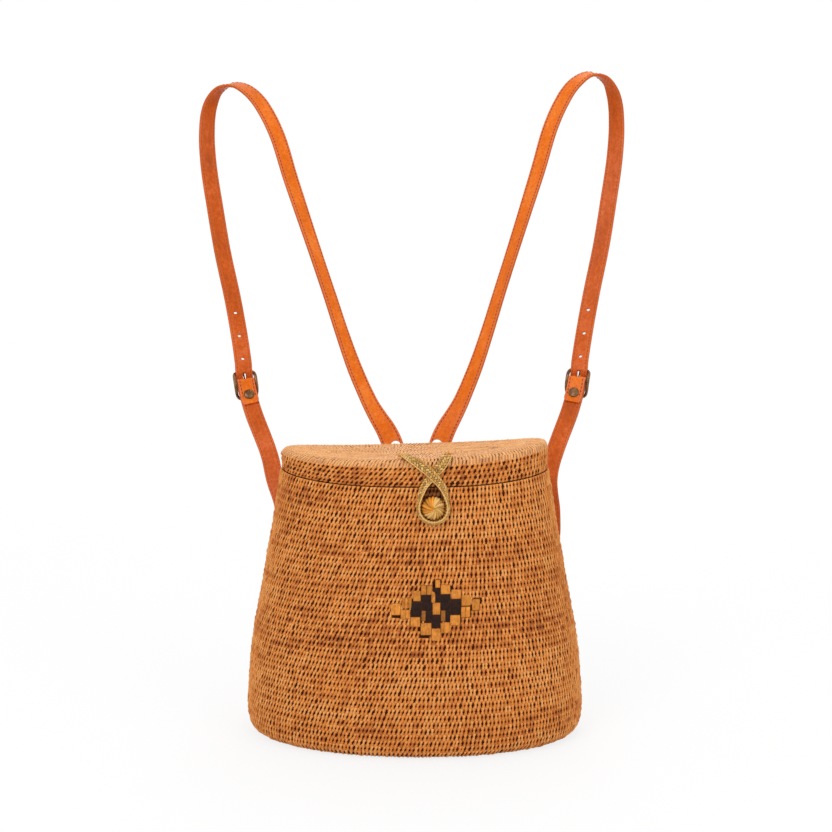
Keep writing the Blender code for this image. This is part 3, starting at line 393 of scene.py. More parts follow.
def triangle_mesh(name, points, triangles, colours, layer="weave"):
    """A mesh from arrays of points and triangles that face outwards, with one colour per point."""
    corners = points[triangles]
    if np.einsum("ij,ij", corners[:, 0], np.cross(corners[:, 1], corners[:, 2])) < 0:
        triangles = triangles[:, ::-1]
    mesh = bpy.data.meshes.new(name)
    mesh.vertices.add(len(points))
    mesh.vertices.foreach_set("co", np.ascontiguousarray(points, dtype=np.float32).ravel())
    mesh.loops.add(3 * len(triangles))
    mesh.loops.foreach_set("vertex_index", np.ascontiguousarray(triangles, dtype=np.int32).ravel())
    mesh.polygons.add(len(triangles))
    mesh.polygons.foreach_set("loop_start", np.arange(len(triangles), dtype=np.int32) * 3)
    mesh.update(calc_edges=True)
    mesh.shade_smooth()
    shades = mesh.color_attributes.new(name=layer, type="FLOAT_COLOR", domain="POINT")
    shades.data.foreach_set("color", np.ascontiguousarray(colours, dtype=np.float32).ravel())
    return mesh


def strand_shape(sections, sides=5):
    """A closed strand of unit length and width along local Z, as arrays of points and triangles.

    Each section holds a height from -0.5 to 0.5, a width share, a depth share and a lift.
    """
    shape = bmesh.new()
    bmesh.ops.create_cone(shape, cap_ends=True, segments=sides, radius1=0.5, radius2=0.5, depth=1)
    for height, _, _, _ in sections[1:-1]:
        bmesh.ops.bisect_plane(shape, geom=shape.verts[:] + shape.edges[:] + shape.faces[:],
                               plane_co=(0, 0, height), plane_no=(0, 0, 1), dist=0.00001)
    bmesh.ops.triangulate(shape, faces=shape.faces)
    bmesh.ops.recalc_face_normals(shape, faces=shape.faces)
    heights, widths, depths, lifts = zip(*sections)
    for vert in shape.verts:
        height = vert.co.z
        vert.co.x *= np.interp(height, heights, widths)
        vert.co.y = vert.co.y * np.interp(height, heights, depths) + np.interp(height, heights, lifts)
    shape.verts.index_update()
    points = np.array([vert.co[:] for vert in shape.verts])
    triangles = np.array([[vert.index for vert in face.verts] for face in shape.faces])
    shape.free()
    return points, triangles


def stamp_strands(surface, shape, strands):
    """Lay copies of a strand on a surface; each row of strands holds length, share, height,
    width, slant, depth, out and three shades."""
    points, triangles = shape
    strands = np.asarray(strands)
    length, share, height, width, slant, depth, out = (strands[:, k, None] for k in range(7))
    across = points[None, :, 0] * width + slant * points[None, :, 2]
    along = np.clip(length + points[None, :, 2] * height, 0, surface.lengths[-1])
    shares = share + across / surface.round_at(along)
    placed = surface.at(along, shares, out + points[None, :, 1] * depth)
    count, size = len(strands), len(points)
    faces = triangles[None] + size * np.arange(count)[:, None, None]
    shades = np.empty((count, size, 4))
    shades[:, :, 0] = strands[:, 7, None]
    shades[:, :, 1] = points[None, :, 2] + 0.5
    shades[:, :, 2] = strands[:, 8, None]
    shades[:, :, 3] = np.where(points[:, 1] > 0, 1 - np.abs(points[:, 0]) * 2, 0)[None]
    return placed.reshape(-1, 3), faces.reshape(-1, 3), shades.reshape(-1, 4)


def soft_noise(rng, count, smooth):
    """A smooth random row round a ring, between about -1 and 1."""
    raw = rng.standard_normal(count)
    reach = np.fft.rfftfreq(count)
    calm = np.fft.irfft(np.fft.rfft(raw) * np.exp(-(reach * smooth) ** 2), count)
    return calm / (np.abs(calm).max() + 1e-9)


def even_rows(first, last, row):
    """Row boundaries between two lengths of a profile, about one row's height apart."""
    return np.linspace(first, last, max(1, round((last - first) / row)) + 1)


def woven_rows(surface, rng, edges, pitch, look, skip=None):
    """Rows of strands between boundaries along a surface's profile."""
    rows = len(edges) - 1
    bands = soft_noise(rng, rows + 8, 2.2)[:rows]
    blotch_table = np.array([soft_noise(rng, 64, 5) for _ in range(rows // 3 + 3)])
    found = []
    offset = 0.0
    for k in range(rows):
        middle = (edges[k] + edges[k + 1]) / 2
        step = edges[k + 1] - edges[k]
        round_length = float(surface.round_at(middle))
        count = max(6, round(round_length / pitch))
        offset += 0.38 + 0.1 * rng.standard_normal()
        spread = np.cumsum(1 + 0.10 * rng.standard_normal(count))
        shares = (spread / spread[-1] + offset / count) % 1
        places = surface.at(np.full(count, middle), shares, np.zeros(count))
        x = places[:, 0]
        own = round_length / count
        slant = look["slant"](places) * own * (1 + 0.22 * rng.standard_normal(count))
        tone = rng.random(count)
        level = blotch_table[k // 3] * (1 - k % 3 / 3) + blotch_table[k // 3 + 1] * (k % 3 / 3)
        blotch = np.interp(shares * 64, np.arange(64), level)
        shade = 0.5 + 0.26 * bands[k] + 0.16 * blotch + 0.22 * soft_noise(rng, count, 12)
        shade = look["shade"](places, shade) if "shade" in look else shade
        # Strands with painted shade (a value at or below -1) lose their own tone.
        tone *= shade > -1
        block = np.stack([
            np.full(count, middle), shares,
            np.full(count, step * look.get("lap", 1.04)) * (1 + 0.02 * rng.standard_normal(count)),
            own * look.get("width", 1.0) * (1 + 0.08 * rng.standard_normal(count)),
            slant, np.full(count, look["depth"]) * (1 + 0.12 * rng.standard_normal(count)),
            np.full(count, look["out"]) + 0.05 * look["depth"] * rng.standard_normal(count),
            tone, np.clip(shade, 0, 1)], axis=1)
        if skip is not None:
            block = block[~skip(places)]
        found.append(block)
    return np.concatenate(found)


STRAND = ((-0.5, 1.14, 0.80, 0.0), (-0.26, 0.99, 0.98, 0.03), (0.0, 0.48, 1.12, 0.05),
          (0.26, 0.99, 0.98, 0.03), (0.5, 1.14, 0.80, 0.0))
CLOSE_STRAND = ((-0.5, 1.06, 0.80, -0.14), (-0.28, 1.04, 1.0, 0.0), (0.28, 1.04, 1.0, 0.0),
                (0.5, 1.06, 0.80, -0.14))

BEAD = ((-0.5, 0.30, 0.50, -0.20), (-0.32, 0.80, 0.90, 0.0), (0.0, 1.0, 1.0, 0.06),
        (0.32, 0.80, 0.90, 0.0), (0.5, 0.30, 0.50, -0.20))

# Cells of the stepped ornament on the front, in metres: left, right, bottom, top, strip
ORNAMENT = (
    (0.0172, 0.0207, 0.1272, 0.1329, "tan"), (0.0150, 0.0210, 0.1220, 0.1270, "black"),
    (0.0068, 0.0107, 0.1221, 0.1289, "tan"), (0.0111, 0.0150, 0.1221, 0.1289, "tan"),
    (0.0212, 0.0281, 0.1225, 0.1291, "tan"), (0.0010, 0.0065, 0.1175, 0.1249, "tan"),
    (0.0066, 0.0144, 0.1171, 0.1221, "black"), (0.0144, 0.0171, 0.1163, 0.1249, "tan"),
    (0.0172, 0.0283, 0.1167, 0.1223, "black"), (0.0289, 0.0360, 0.1190, 0.1256, "tan"),
    (-0.0072, -0.0051, 0.1122, 0.1199, "tan"), (-0.0050, -0.0029, 0.1122, 0.1199, "tan"),
    (-0.0027, -0.0001, 0.1124, 0.1199, "tan"), (-0.0006, 0.0074, 0.1063, 0.1171, "black"),
    (0.0073, 0.0151, 0.1106, 0.1174, "black"), (0.0153, 0.0208, 0.1079, 0.1164, "tan"),
    (0.0209, 0.0282, 0.1107, 0.1169, "black"), (0.0282, 0.0359, 0.1074, 0.1188, "black"),
    (0.0364, 0.0431, 0.1137, 0.1216, "tan"), (-0.0152, -0.0081, 0.1074, 0.1157, "tan"),
    (0.0440, 0.0497, 0.1102, 0.1183, "tan"), (-0.0080, -0.0044, 0.1046, 0.1113, "tan"),
    (-0.0042, -0.0011, 0.1049, 0.1113, "tan"), (0.0071, 0.0102, 0.1034, 0.1108, "brown"),
    (0.0102, 0.0150, 0.1024, 0.1107, "black"), (0.0148, 0.0210, 0.0982, 0.1077, "black"),
    (0.0214, 0.0246, 0.1030, 0.1109, "brown"), (0.0246, 0.0281, 0.1026, 0.1107, "black"),
    (0.0362, 0.0392, 0.1054, 0.1130, "tan"), (0.0394, 0.0426, 0.1056, 0.1130, "tan"),
    (-0.0009, 0.0062, 0.0992, 0.1061, "tan"), (0.0281, 0.0354, 0.0999, 0.1073, "tan"),
    (0.0066, 0.0144, 0.0933, 0.1019, "tan"), (0.0212, 0.0235, 0.0947, 0.1019, "tan"),
    (0.0237, 0.0277, 0.0947, 0.1023, "tan"), (0.0146, 0.0210, 0.0891, 0.0979, "tan"),
)


ORNAMENT_DROP = 0.0014


# Materials

class Finish:
    """A material built from nodes round its one surface shader."""

    def __init__(self, name, roughness=0.6, metallic=0.0, specular=0.35):
        self.material = bpy.data.materials.new(name)
        self.material.use_nodes = True
        self.tree = self.material.node_tree
        self.shader = self.tree.nodes["Principled BSDF"]
        self.shader.inputs["Roughness"].default_value = roughness
        self.shader.inputs["Metallic"].default_value = metallic
        self.shader.inputs["Specular IOR Level"].default_value = specular

    def node(self, kind, **settings):
        made = self.tree.nodes.new(kind)
        for key, value in settings.items():
            setattr(made, key, value)
        return made

    def join(self, source, target):
        self.tree.links.new(source, target)

    def put(self, socket, value):
        if isinstance(value, bpy.types.NodeSocket):
            self.join(value, socket)
        elif isinstance(value, (tuple, list)) and len(value) == 3 and socket.type == "RGBA":
            socket.default_value = (*value, 1)
        elif hasattr(value, "__len__") and socket.type == "RGBA":
            socket.default_value = (value[0], value[1], value[2], 1)
        else:
            socket.default_value = value

    def layer(self, name):
        """The three channels of a point colour."""
        source = self.node("ShaderNodeAttribute", attribute_name=name)
        split = self.node("ShaderNodeSeparateColor")
        self.join(source.outputs["Color"], split.inputs[0])
        self.crest = source.outputs["Alpha"]
        return split.outputs[0], split.outputs[1], split.outputs[2]

    def place(self, stretch=(1, 1, 1), uv=None):
        """Object coordinates, or a named UV map, scaled."""
        if uv:
            start = self.node("ShaderNodeUVMap", uv_map=uv).outputs["UV"]
        else:
            start = self.node("ShaderNodeTexCoord").outputs["Object"]
        mapping = self.node("ShaderNodeMapping")
        self.join(start, mapping.inputs["Vector"])
        mapping.inputs["Scale"].default_value = stretch
        return mapping.outputs["Vector"]

    def noise(self, place, scale, detail=3.0, roughness=0.55):
        made = self.node("ShaderNodeTexNoise")
        self.join(place, made.inputs["Vector"])
        made.inputs["Scale"].default_value = scale
        made.inputs["Detail"].default_value = detail
        made.inputs["Roughness"].default_value = roughness
        return made.outputs["Fac"]

    def math(self, operation, first, second=0.5, clamp=False):
        made = self.node("ShaderNodeMath", operation=operation, use_clamp=clamp)
        self.put(made.inputs[0], first)
        self.put(made.inputs[1], second)
        return made.outputs[0]

    def blend(self, factor, first, second, how="MIX"):
        made = self.node("ShaderNodeMix", data_type="RGBA", blend_type=how)
        self.put(made.inputs["Factor"], factor)
        self.put(made.inputs["A"], first)
        self.put(made.inputs["B"], second)
        return made.outputs["Result"]

    def ramp(self, factor, *stops):
        made = self.node("ShaderNodeValToRGB")
        self.put(made.inputs["Fac"], factor)
        band = made.color_ramp
        while len(band.elements) < len(stops):
            band.elements.new(0.5)
        for element, (at, colour) in zip(band.elements, stops):
            element.position = at
            element.color = (colour[0], colour[1], colour[2], 1)
        return made.outputs["Color"]

    def level(self, factor, low, high, to_low=0.0, to_high=1.0):
        made = self.node("ShaderNodeMapRange")
        self.put(made.inputs["Value"], factor)
        made.inputs["From Min"].default_value = low
        made.inputs["From Max"].default_value = high
        made.inputs["To Min"].default_value = to_low
        made.inputs["To Max"].default_value = to_high
        return made.outputs["Result"]

    def bump(self, height, distance, strength=1.0):
        made = self.node("ShaderNodeBump")
        made.inputs["Distance"].default_value = distance
        made.inputs["Strength"].default_value = strength
        self.join(height, made.inputs["Height"])
        self.join(made.outputs["Normal"], self.shader.inputs["Normal"])

    def colour(self, value):
        self.put(self.shader.inputs["Base Color"], value)

    def rough(self, value):
        self.put(self.shader.inputs["Roughness"], value)


def cane_finish(colours, name="woven_cane", top_sheen=0.0):
    """Split grass strands: each its own tone, darker in blotches and rows, finely grained. Painted shade darkens
    each strand's flanks and turns strands marked as shaded near black; painted highlights lighten the strand
    ends; the lid's top gets a painted sheen.
    """
    finish = Finish(name, 0.55, 0.0, 0.2)
    tone, along, shade = finish.layer("weave")
    mixed = finish.math("ADD", finish.math("MULTIPLY", tone, 0.46), finish.math("MULTIPLY", shade, 0.60))
    # The near-black first stop is where strands with painted shade land.
    base = finish.ramp(mixed, (0.0, tuple(0.22 * c for c in colours.cane_dark)), (0.14, colours.cane_dark), (0.46, colours.cane),
                       (0.90, colours.cane_light))
    ends = finish.math("ABSOLUTE", finish.math("SUBTRACT", along, 0.5), 0.0)
    # Painted highlight: each strand is lightened towards its ends, which draws light bands between the rows.
    base = finish.blend(finish.level(ends, 0.18, 0.5, 0.0, 0.38), base, colours.cane_light)
    # Painted shade: the strand's flanks, away from its crest, are darkened towards the dark cane, less so near
    # its ends.
    painted_flank_shade = finish.math("MULTIPLY", finish.level(finish.crest, 0.15, 0.75, 0.66, 0.0),
                        finish.level(ends, 0.25, 0.5, 1.0, 0.3))
    base = finish.blend(painted_flank_shade, base, colours.cane_dark)
    grain = finish.noise(finish.place((2600, 2600, 420)), 1.0, 2)
    base = finish.blend(finish.level(grain, 0.30, 0.75, 0.0, 0.42), base, tuple(
        0.45 * c for c in colours.cane_dark), "MIX")
    patch = finish.noise(finish.place((26, 26, 190)), 1.0, 4)
    base = finish.blend(finish.level(patch, 0.55, 0.85, 0.0, 0.35), base, colours.cane_dark, "MIX")
    # Painted sheen: the lid's top strands are blended towards a pale colour.
    if top_sheen:
        base = finish.blend(top_sheen, base, colours.cane_top_sheen)
    finish.colour(base)
    finish.rough(finish.level(grain, 0.2, 0.8, 0.42, 0.70))
    finish.bump(grain, 0.00018, 0.6)
    return finish.material


def core_finish(colours):
    """The shaded coil behind the strands."""
    found = bpy.data.materials.get("coil_core")
    if found:
        return found
    finish = Finish("coil_core", 0.85, 0.0, 0.08)
    grain = finish.noise(finish.place((300, 300, 900)), 1.0, 3)
    finish.colour(finish.ramp(grain, (0.3, tuple(0.55 * c for c in colours.core)), (0.7, colours.core)))
    finish.bump(grain, 0.0003, 0.5)
    return finish.material


def dark_cane_finish(colours):
    """Darker, wrapped cane of the rim band and the hinge rings."""
    found = bpy.data.materials.get("wrapped_cane")
    if found:
        return found
    finish = Finish("wrapped_cane", 0.6)
    grain = finish.noise(finish.place((900, 900, 260)), 1.0, 3)
    base = finish.ramp(grain, (0.30, tuple(0.6 * c for c in colours.cane_dark)), (0.55, colours.cane_dark),
                       (0.80, tuple(0.75 * c for c in colours.cane)))
    finish.colour(base)
    finish.bump(grain, 0.0003, 0.7)
    return finish.material


def bronze_finish(colours):
    """Aged bronze: brown in the hollows, brighter where it rubs."""
    finish = Finish("aged_bronze", 0.38, 0.9, 0.5)
    cloud = finish.noise(finish.place((220, 220, 220)), 1.0, 5)
    base = finish.ramp(cloud, (0.30, tuple(0.28 * c for c in colours.bronze)), (0.52, colours.bronze),
                       (0.78, tuple(min(1, 1.5 * c) for c in colours.bronze)))
    finish.colour(base)
    finish.rough(finish.level(cloud, 0.25, 0.75, 0.55, 0.30))
    fine = finish.noise(finish.place((1800, 1800, 1800)), 1.0, 3)
    finish.bump(fine, 0.00008, 0.5)
    return finish.material


# Operators

class BasketPiece:
    """What every operator of the basket shares."""
    bl_options = {"REGISTER", "UNDO"}

    def settings(self, context):
        return context.scene.pack_basket_sizes, context.scene.pack_basket_colours


class WEAVE_OT_body(BasketPiece, bpy.types.Operator):
    """Weave the outside, the underside and the inside of the body"""
    bl_idname = "pack_basket.weave_body"
    bl_label = "Weave the Body"

    def execute(self, context):
        sizes, colours = self.settings(context)
        rng = np.random.default_rng(sizes.seed)
        cane = cane_finish(colours)
        core = core_finish(colours)
        dress("basket_body", core)
        dress("rim_collar", dark_cane_finish(colours))
        for side in SIDES:
            dress("hinge_ring_" + side, dark_cane_finish(colours))
        half_width, half_depth = body_halves(0)
        under = [level_ring(half_width - inset, half_depth - inset, 0)
                 for inset in np.arange(half_depth - SEAM_HALF, 0, -sizes.row / 2)]
        walls = [body_ring(share, 0) for share in np.linspace(0, 1, 2 * COIL_ROWS + 1)]
        outside = WovenSurface(under + walls)
        edges = outside.lengths[len(under)::2]
        start = edges[0]
        shape = strand_shape(STRAND)

        def slant(places):
            side = np.clip((places[:, 0] + 0.03) / 0.13, 0, 1)
            return 0.62 - 0.62 * side * side * (3 - 2 * side)

        def shade(places, value):
            dark = np.exp(-((places[:, 0] + 0.085) / 0.020) ** 2 - ((places[:, 2] - 0.189) / 0.008) ** 2)
            value = value - 0.45 * dark * (places[:, 1] < 0)
            # Painted shade: strands in the narrowing space between the plait's legs above the knob get a value
            # far below any shade, so they lose their tone and take the near-black lowest colour.
            rise = places[:, 2] - KNOB_HEIGHT - KNOB_RADIUS / 2
            shaded = np.abs(places[:, 0] - CLOSURE_X) < KNOB_RADIUS - 0.5 * rise
            return np.where(shaded & (rise > 0) & (places[:, 1] < 0), -9.0, value)

        def under_ornament(places):
            hidden = np.zeros(len(places), dtype=bool)
            for left, right, bottom, top, _ in ORNAMENT:
                hidden |= ((places[:, 0] > left) & (places[:, 0] < right) & (places[:, 1] < 0)
                           & (places[:, 2] > bottom - ORNAMENT_DROP)
                           & (places[:, 2] < top - ORNAMENT_DROP))
            return hidden

        look = {"slant": slant, "shade": shade, "depth": 2.2 * sizes.strand_out,
                "out": -0.35 * sizes.strand_out, "lap": 1.06}
        strands = woven_rows(outside, rng, edges, sizes.pitch, look, under_ornament)
        thirds = np.array_split(strands[np.argsort(strands[:, 0], kind="stable")], 3)
        for name, part in zip(("weave_low", "weave_middle", "weave_high"), thirds):
            new_piece(name, triangle_mesh(name, *stamp_strands(outside, shape, part)), "basket", cane)

        plain = {"slant": lambda places: np.full(len(places), 0.4), "depth": 0.0010,
                 "out": -0.0002, "lap": 1.05, "width": 0.95}
        close = strand_shape(CLOSE_STRAND, 4)
        strands = woven_rows(outside, rng, even_rows(0.001, start - 0.0005, sizes.row),
                             sizes.inner_pitch, plain)
        new_piece("weave_under", triangle_mesh("weave_under", *stamp_strands(outside, close, strands)),
                  "basket", cane)

        inner = [body_ring(share, WALL) for share in np.linspace(0.95, 0.03, 60)]
        half_width, half_depth = body_halves(0.02)
        middle = half_depth - WALL - SEAM_HALF
        inner += [level_ring(half_width - WALL - inset, half_depth - WALL - inset, FLOOR)
                  for inset in (*np.arange(0.001, middle - 0.001, sizes.row / 2), middle)]
        inside = WovenSurface(inner)
        strands = woven_rows(inside, rng, even_rows(0.0, inside.lengths[-1] - 0.001, sizes.row),
                             sizes.inner_pitch, plain)
        halves = np.array_split(strands, 2)
        for name, part in zip(("weave_inside", "weave_floor"), halves):
            new_piece(name, triangle_mesh(name, *stamp_strands(inside, close, part)), "basket", cane)
        return {"FINISHED"}


class WEAVE_OT_ornament(BasketPiece, bpy.types.Operator):
    """Lay the stepped ornament of flat strips on the front"""
    bl_idname = "pack_basket.lay_ornament"
    bl_label = "Lay the Ornament"

    def execute(self, context):
        sizes, colours = self.settings(context)
        rng = np.random.default_rng(sizes.seed)
        finish = Finish("flat_strips", 0.6, 0.0, 0.12)
        kind, along, tone = finish.layer("weave")
        grain = finish.noise(finish.place((2200, 2200, 160)), 1.0, 3)
        tan = finish.blend(tone, tuple(0.72 * c for c in colours.tan), tuple(
            min(1, 1.14 * c) for c in colours.tan))
        base = finish.blend(finish.level(kind, 0.45, 0.55), tan, colours.brown)
        base = finish.blend(finish.level(kind, 0.95, 1.0), base, colours.black)
        cloud = finish.noise(finish.place((420, 420, 300)), 1.0, 3)
        base = finish.blend(finish.level(cloud, 0.35, 0.75, 0.0, 0.8), base, (0.5, 0.42, 0.34), "MULTIPLY")
        rim = finish.level(finish.crest, 0.0, 0.5, 0.8, 0.0)
        fibre = finish.math("MAXIMUM", rim, finish.level(grain, 0.38, 0.8, 0.0, 0.5))
        finish.colour(finish.blend(fibre, base, tuple(0.22 * c for c in colours.cane_dark)))
        finish.bump(grain, 0.0003, 0.9)
        shape = bmesh.new()
        shades = []
        tones = {"tan": 0.0, "brown": 0.5, "black": 1.0}
        for left, right, bottom, top, strip in ORNAMENT:
            made = bmesh.ops.create_grid(shape, x_segments=8, y_segments=8, size=0.5)
            tone_here = rng.random()
            out_here = 0.0004 * rng.random()
            edge = -0.0001
            domes = []
            for vert in made["verts"]:
                u, v = (0.5 * math.sin(math.pi * value) for value in vert.co[:2])
                x = left + edge + (u + 0.5) * (right - left - 2 * edge)
                z = bottom - ORNAMENT_DROP + edge + (v + 0.5) * (top - bottom - 2 * edge)
                dome = (1 - abs(2 * u) ** 5) * (1 - abs(2 * v) ** 5)
                domes.append(dome)
                vert.co = wall_point(x, z, -1, 0.0005 + out_here + 0.0007 * dome)[0]
            faces = list({face for vert in made["verts"] for face in vert.link_faces})
            bmesh.ops.reverse_faces(shape, faces=faces)
            rim = [edge for edge in {e for face in faces for e in face.edges} if edge.is_boundary]
            skirt = bmesh.ops.extrude_edge_only(shape, edges=rim)["geom"]
            lower = [item for item in skirt if isinstance(item, bmesh.types.BMVert)]
            bmesh.ops.translate(shape, verts=lower, vec=(0, 0.0012, 0))
            closing = [edge for edge in skirt if isinstance(edge, bmesh.types.BMEdge) and edge.is_boundary]
            bmesh.ops.contextual_create(shape, geom=closing)
            shades += [(tones[strip], 0.5, tone_here, dome) for dome in domes + [0] * len(lower)]
        bmesh.ops.recalc_face_normals(shape, faces=shape.faces)
        mesh = bpy.data.meshes.new("ornament")
        shape.to_mesh(mesh)
        shape.free()
        mesh.shade_smooth()
        mesh.set_sharp_from_angle(angle=math.radians(50))
        layer = mesh.color_attributes.new(name="weave", type="FLOAT_COLOR", domain="POINT")
        layer.data.foreach_set("color", np.array(shades, dtype=np.float32).ravel())
        new_piece("ornament", mesh, "basket", finish.material)
        return {"FINISHED"}


class WEAVE_OT_lid(BasketPiece, bpy.types.Operator):
    """Weave the side, the edge, the top and the underside of the lid"""
    bl_idname = "pack_basket.weave_lid"
    bl_label = "Weave the Lid"

    def execute(self, context):
        sizes, colours = self.settings(context)
        rng = np.random.default_rng(sizes.seed + 1)
        cane = cane_finish(colours, "lid_cane")
        dress("lid", core_finish(colours))
        edge_start = 1 - LID_EDGE_RADIUS / LID_HEIGHT
        side = [lid_side_ring(share, LID_BULGE * (1 - share) ** 2) for share in np.linspace(0.01, edge_start, 16)]
        edge = []
        for turn in np.linspace(0.1, 1, 6):
            angle = math.pi / 2 * turn
            inset = LID_EDGE_RADIUS * (1 - math.cos(angle)) + LID_BULGE / 2
            edge.append(lid_disc_ring(inset, LID_EDGE_RADIUS * (1 - math.sin(angle))))
        middle = LID_DEPTH / 2 - SEAM_HALF / 2
        disc = [lid_disc_ring(inset) for inset in (
            *np.arange(LID_EDGE_RADIUS + LID_BULGE + 0.001, middle - 0.001, 0.0024), middle)]
        outside = WovenSurface(side + edge + disc)
        side_end = outside.lengths[len(side) - 1]
        tall = {"slant": lambda places: 0.75 - 0.75 * np.clip((places[:, 0] + 0.02) / 0.10, 0, 1),
                "depth": 2.4 * sizes.strand_out, "out": -0.4 * sizes.strand_out, "lap": 1.06}
        strands = woven_rows(outside, rng, np.linspace(0.0002, side_end, LID_ROWS + 1),
                             sizes.lid_pitch, tall)
        mesh = triangle_mesh("lid_side", *stamp_strands(outside, strand_shape(STRAND), strands))
        new_piece("lid_side", mesh, "lid", cane)
        close = {"slant": lambda places: np.full(len(places), 0.5), "depth": 0.0013,
                 "out": -0.0001, "lap": 1.16}
        strands = woven_rows(outside, rng, even_rows(side_end - 0.0007, outside.lengths[-1] - 0.0002, 0.0040),
                             sizes.top_pitch, close)
        mesh = triangle_mesh("lid_top", *stamp_strands(outside, strand_shape(CLOSE_STRAND), strands))
        # The lid's top strands get a painted sheen.
        new_piece("lid_top", mesh, "lid", cane_finish(colours, "lid_top_sheen_cane", 0.2))
        under = [lid_disc_ring(inset, LID_TOP)
                 for inset in np.arange(middle, WALL + LID_EDGE_RADIUS, -0.0024)]
        under += [lid_side_ring(share, WALL) for share in np.linspace(0.52, 0.06, 7)]
        inside = WovenSurface(under)
        close = {**close, "depth": 0.0009}
        strands = woven_rows(inside, rng, even_rows(0.0006, inside.lengths[-1], 0.0044),
                             sizes.inner_pitch, close)
        mesh = triangle_mesh("lid_under", *stamp_strands(inside, strand_shape(CLOSE_STRAND, 4), strands))
        new_piece("lid_under", mesh, "lid", cane)
        return {"FINISHED"}


# Straps: the same routes as the solids, in finer steps

def smooth_route(rows, step):
    """Stations along a smooth curve through the rows, about one step apart, and each row's index."""
    spans = [(Vector(b[:3]) - Vector(a[:3])).length for a, b in zip(rows, rows[1:])]
    slopes = []
    for i in range(len(rows)):
        before, after = max(0, i - 1), min(i, len(spans) - 1)
        slope = []
        for p0, p1, p2 in zip(rows[before], rows[i], rows[after + 1]):
            into, onward = (p1 - p0) / spans[before], (p2 - p1) / spans[after]
            if i == 0:
                slope.append(onward)
            elif i == len(rows) - 1:
                slope.append(into)
            else:
                share = spans[before] / (spans[before] + spans[after])
                slope.append(into * (1 - share) + onward * share)
        slopes.append(slope)
    stations = [rows[0]]
    marks = [0]
    for i, span in enumerate(spans):
        count = max(1, round(span / step))
        for k in range(1, count + 1):
            t = k / count
            row = []
            for p1, p2, s1, s2 in zip(rows[i], rows[i + 1], slopes[i], slopes[i + 1]):
                row.append(p1 * (1 + 2 * t) * (1 - t) ** 2 + p2 * t * t * (3 - 2 * t)
                           + span * (s1 * t * (1 - t) ** 2 - s2 * t * t * (1 - t)))
            stations.append(tuple(row))
        marks.append(len(stations) - 1)
    return stations, marks


def tangents(points):
    last = len(points) - 1
    return [(points[min(i + 1, last)] - points[max(i - 1, 0)]).normalized() for i in range(last + 1)]


def strap_rows(side):
    """The strap's route from its root on the back wall, over the top, down to its foot."""
    lie = STRAP_THICK / 2 + 3 * GAP / 2
    rows = []
    for z in (ROOT_END, (ROOT_END + ROOT_TOP) / 2, ROOT_TOP):
        point, normal = wall_point(ROOT_X, z, 1, lie)
        rows.append((point.x, point.y, point.z, math.atan2(normal.x, normal.y) / math.pi,
                     ROOT_FLARE_SHARE))
    upper_hinge = len(rows) + 1
    for run in (-HINGE_RUN, 0, HINGE_RUN):
        lean = HINGE_LEAN * run / HINGE_RUN
        rows.append((ROOT_X, STRAP_AXIS_Y + max(0, lean), STRAP_AXIS_Z + run, 0.0,
                     ROOT_FLARE_SHARE))
    bar = len(rows) + BUCKLE_ROW
    for out, rise, back, twist, width in STRAP_SHARES:
        rows.append((out * STRAP_REACH[side], STRAP_AXIS_Y + back * STRAP_BACK,
                     STRAP_AXIS_Z + rise * STRAP_RISE[side], twist, width))
    lower_hinge = len(rows) + 1
    for run in (HINGE_RUN, 0, -HINGE_RUN):
        lean = HINGE_LEAN * run / HINGE_RUN
        rows.append((FOOT_AXIS_X, STRAP_AXIS_Y + max(0, lean), STRAP_AXIS_Z + run, 1.0, 1.0))
    point, normal = wall_point(FOOT_X, FOOT_TOP, 1, lie)
    turn = 1 - math.atan2(normal.x, normal.y) / math.pi
    rows.append(((FOOT_AXIS_X + FOOT_X) / 2, FOOT_BEND_Y, FOOT_BEND_Z, turn, 1.0))
    for step in range(5):
        z = FOOT_TOP + (FOOT_END - FOOT_TOP) * step / 4
        point, normal = wall_point(FOOT_X, z, 1, lie)
        rows.append((point.x, point.y, point.z, 1 - math.atan2(normal.x, normal.y) / math.pi, 1.0))
    return rows, (upper_hinge, bar, lower_hinge)


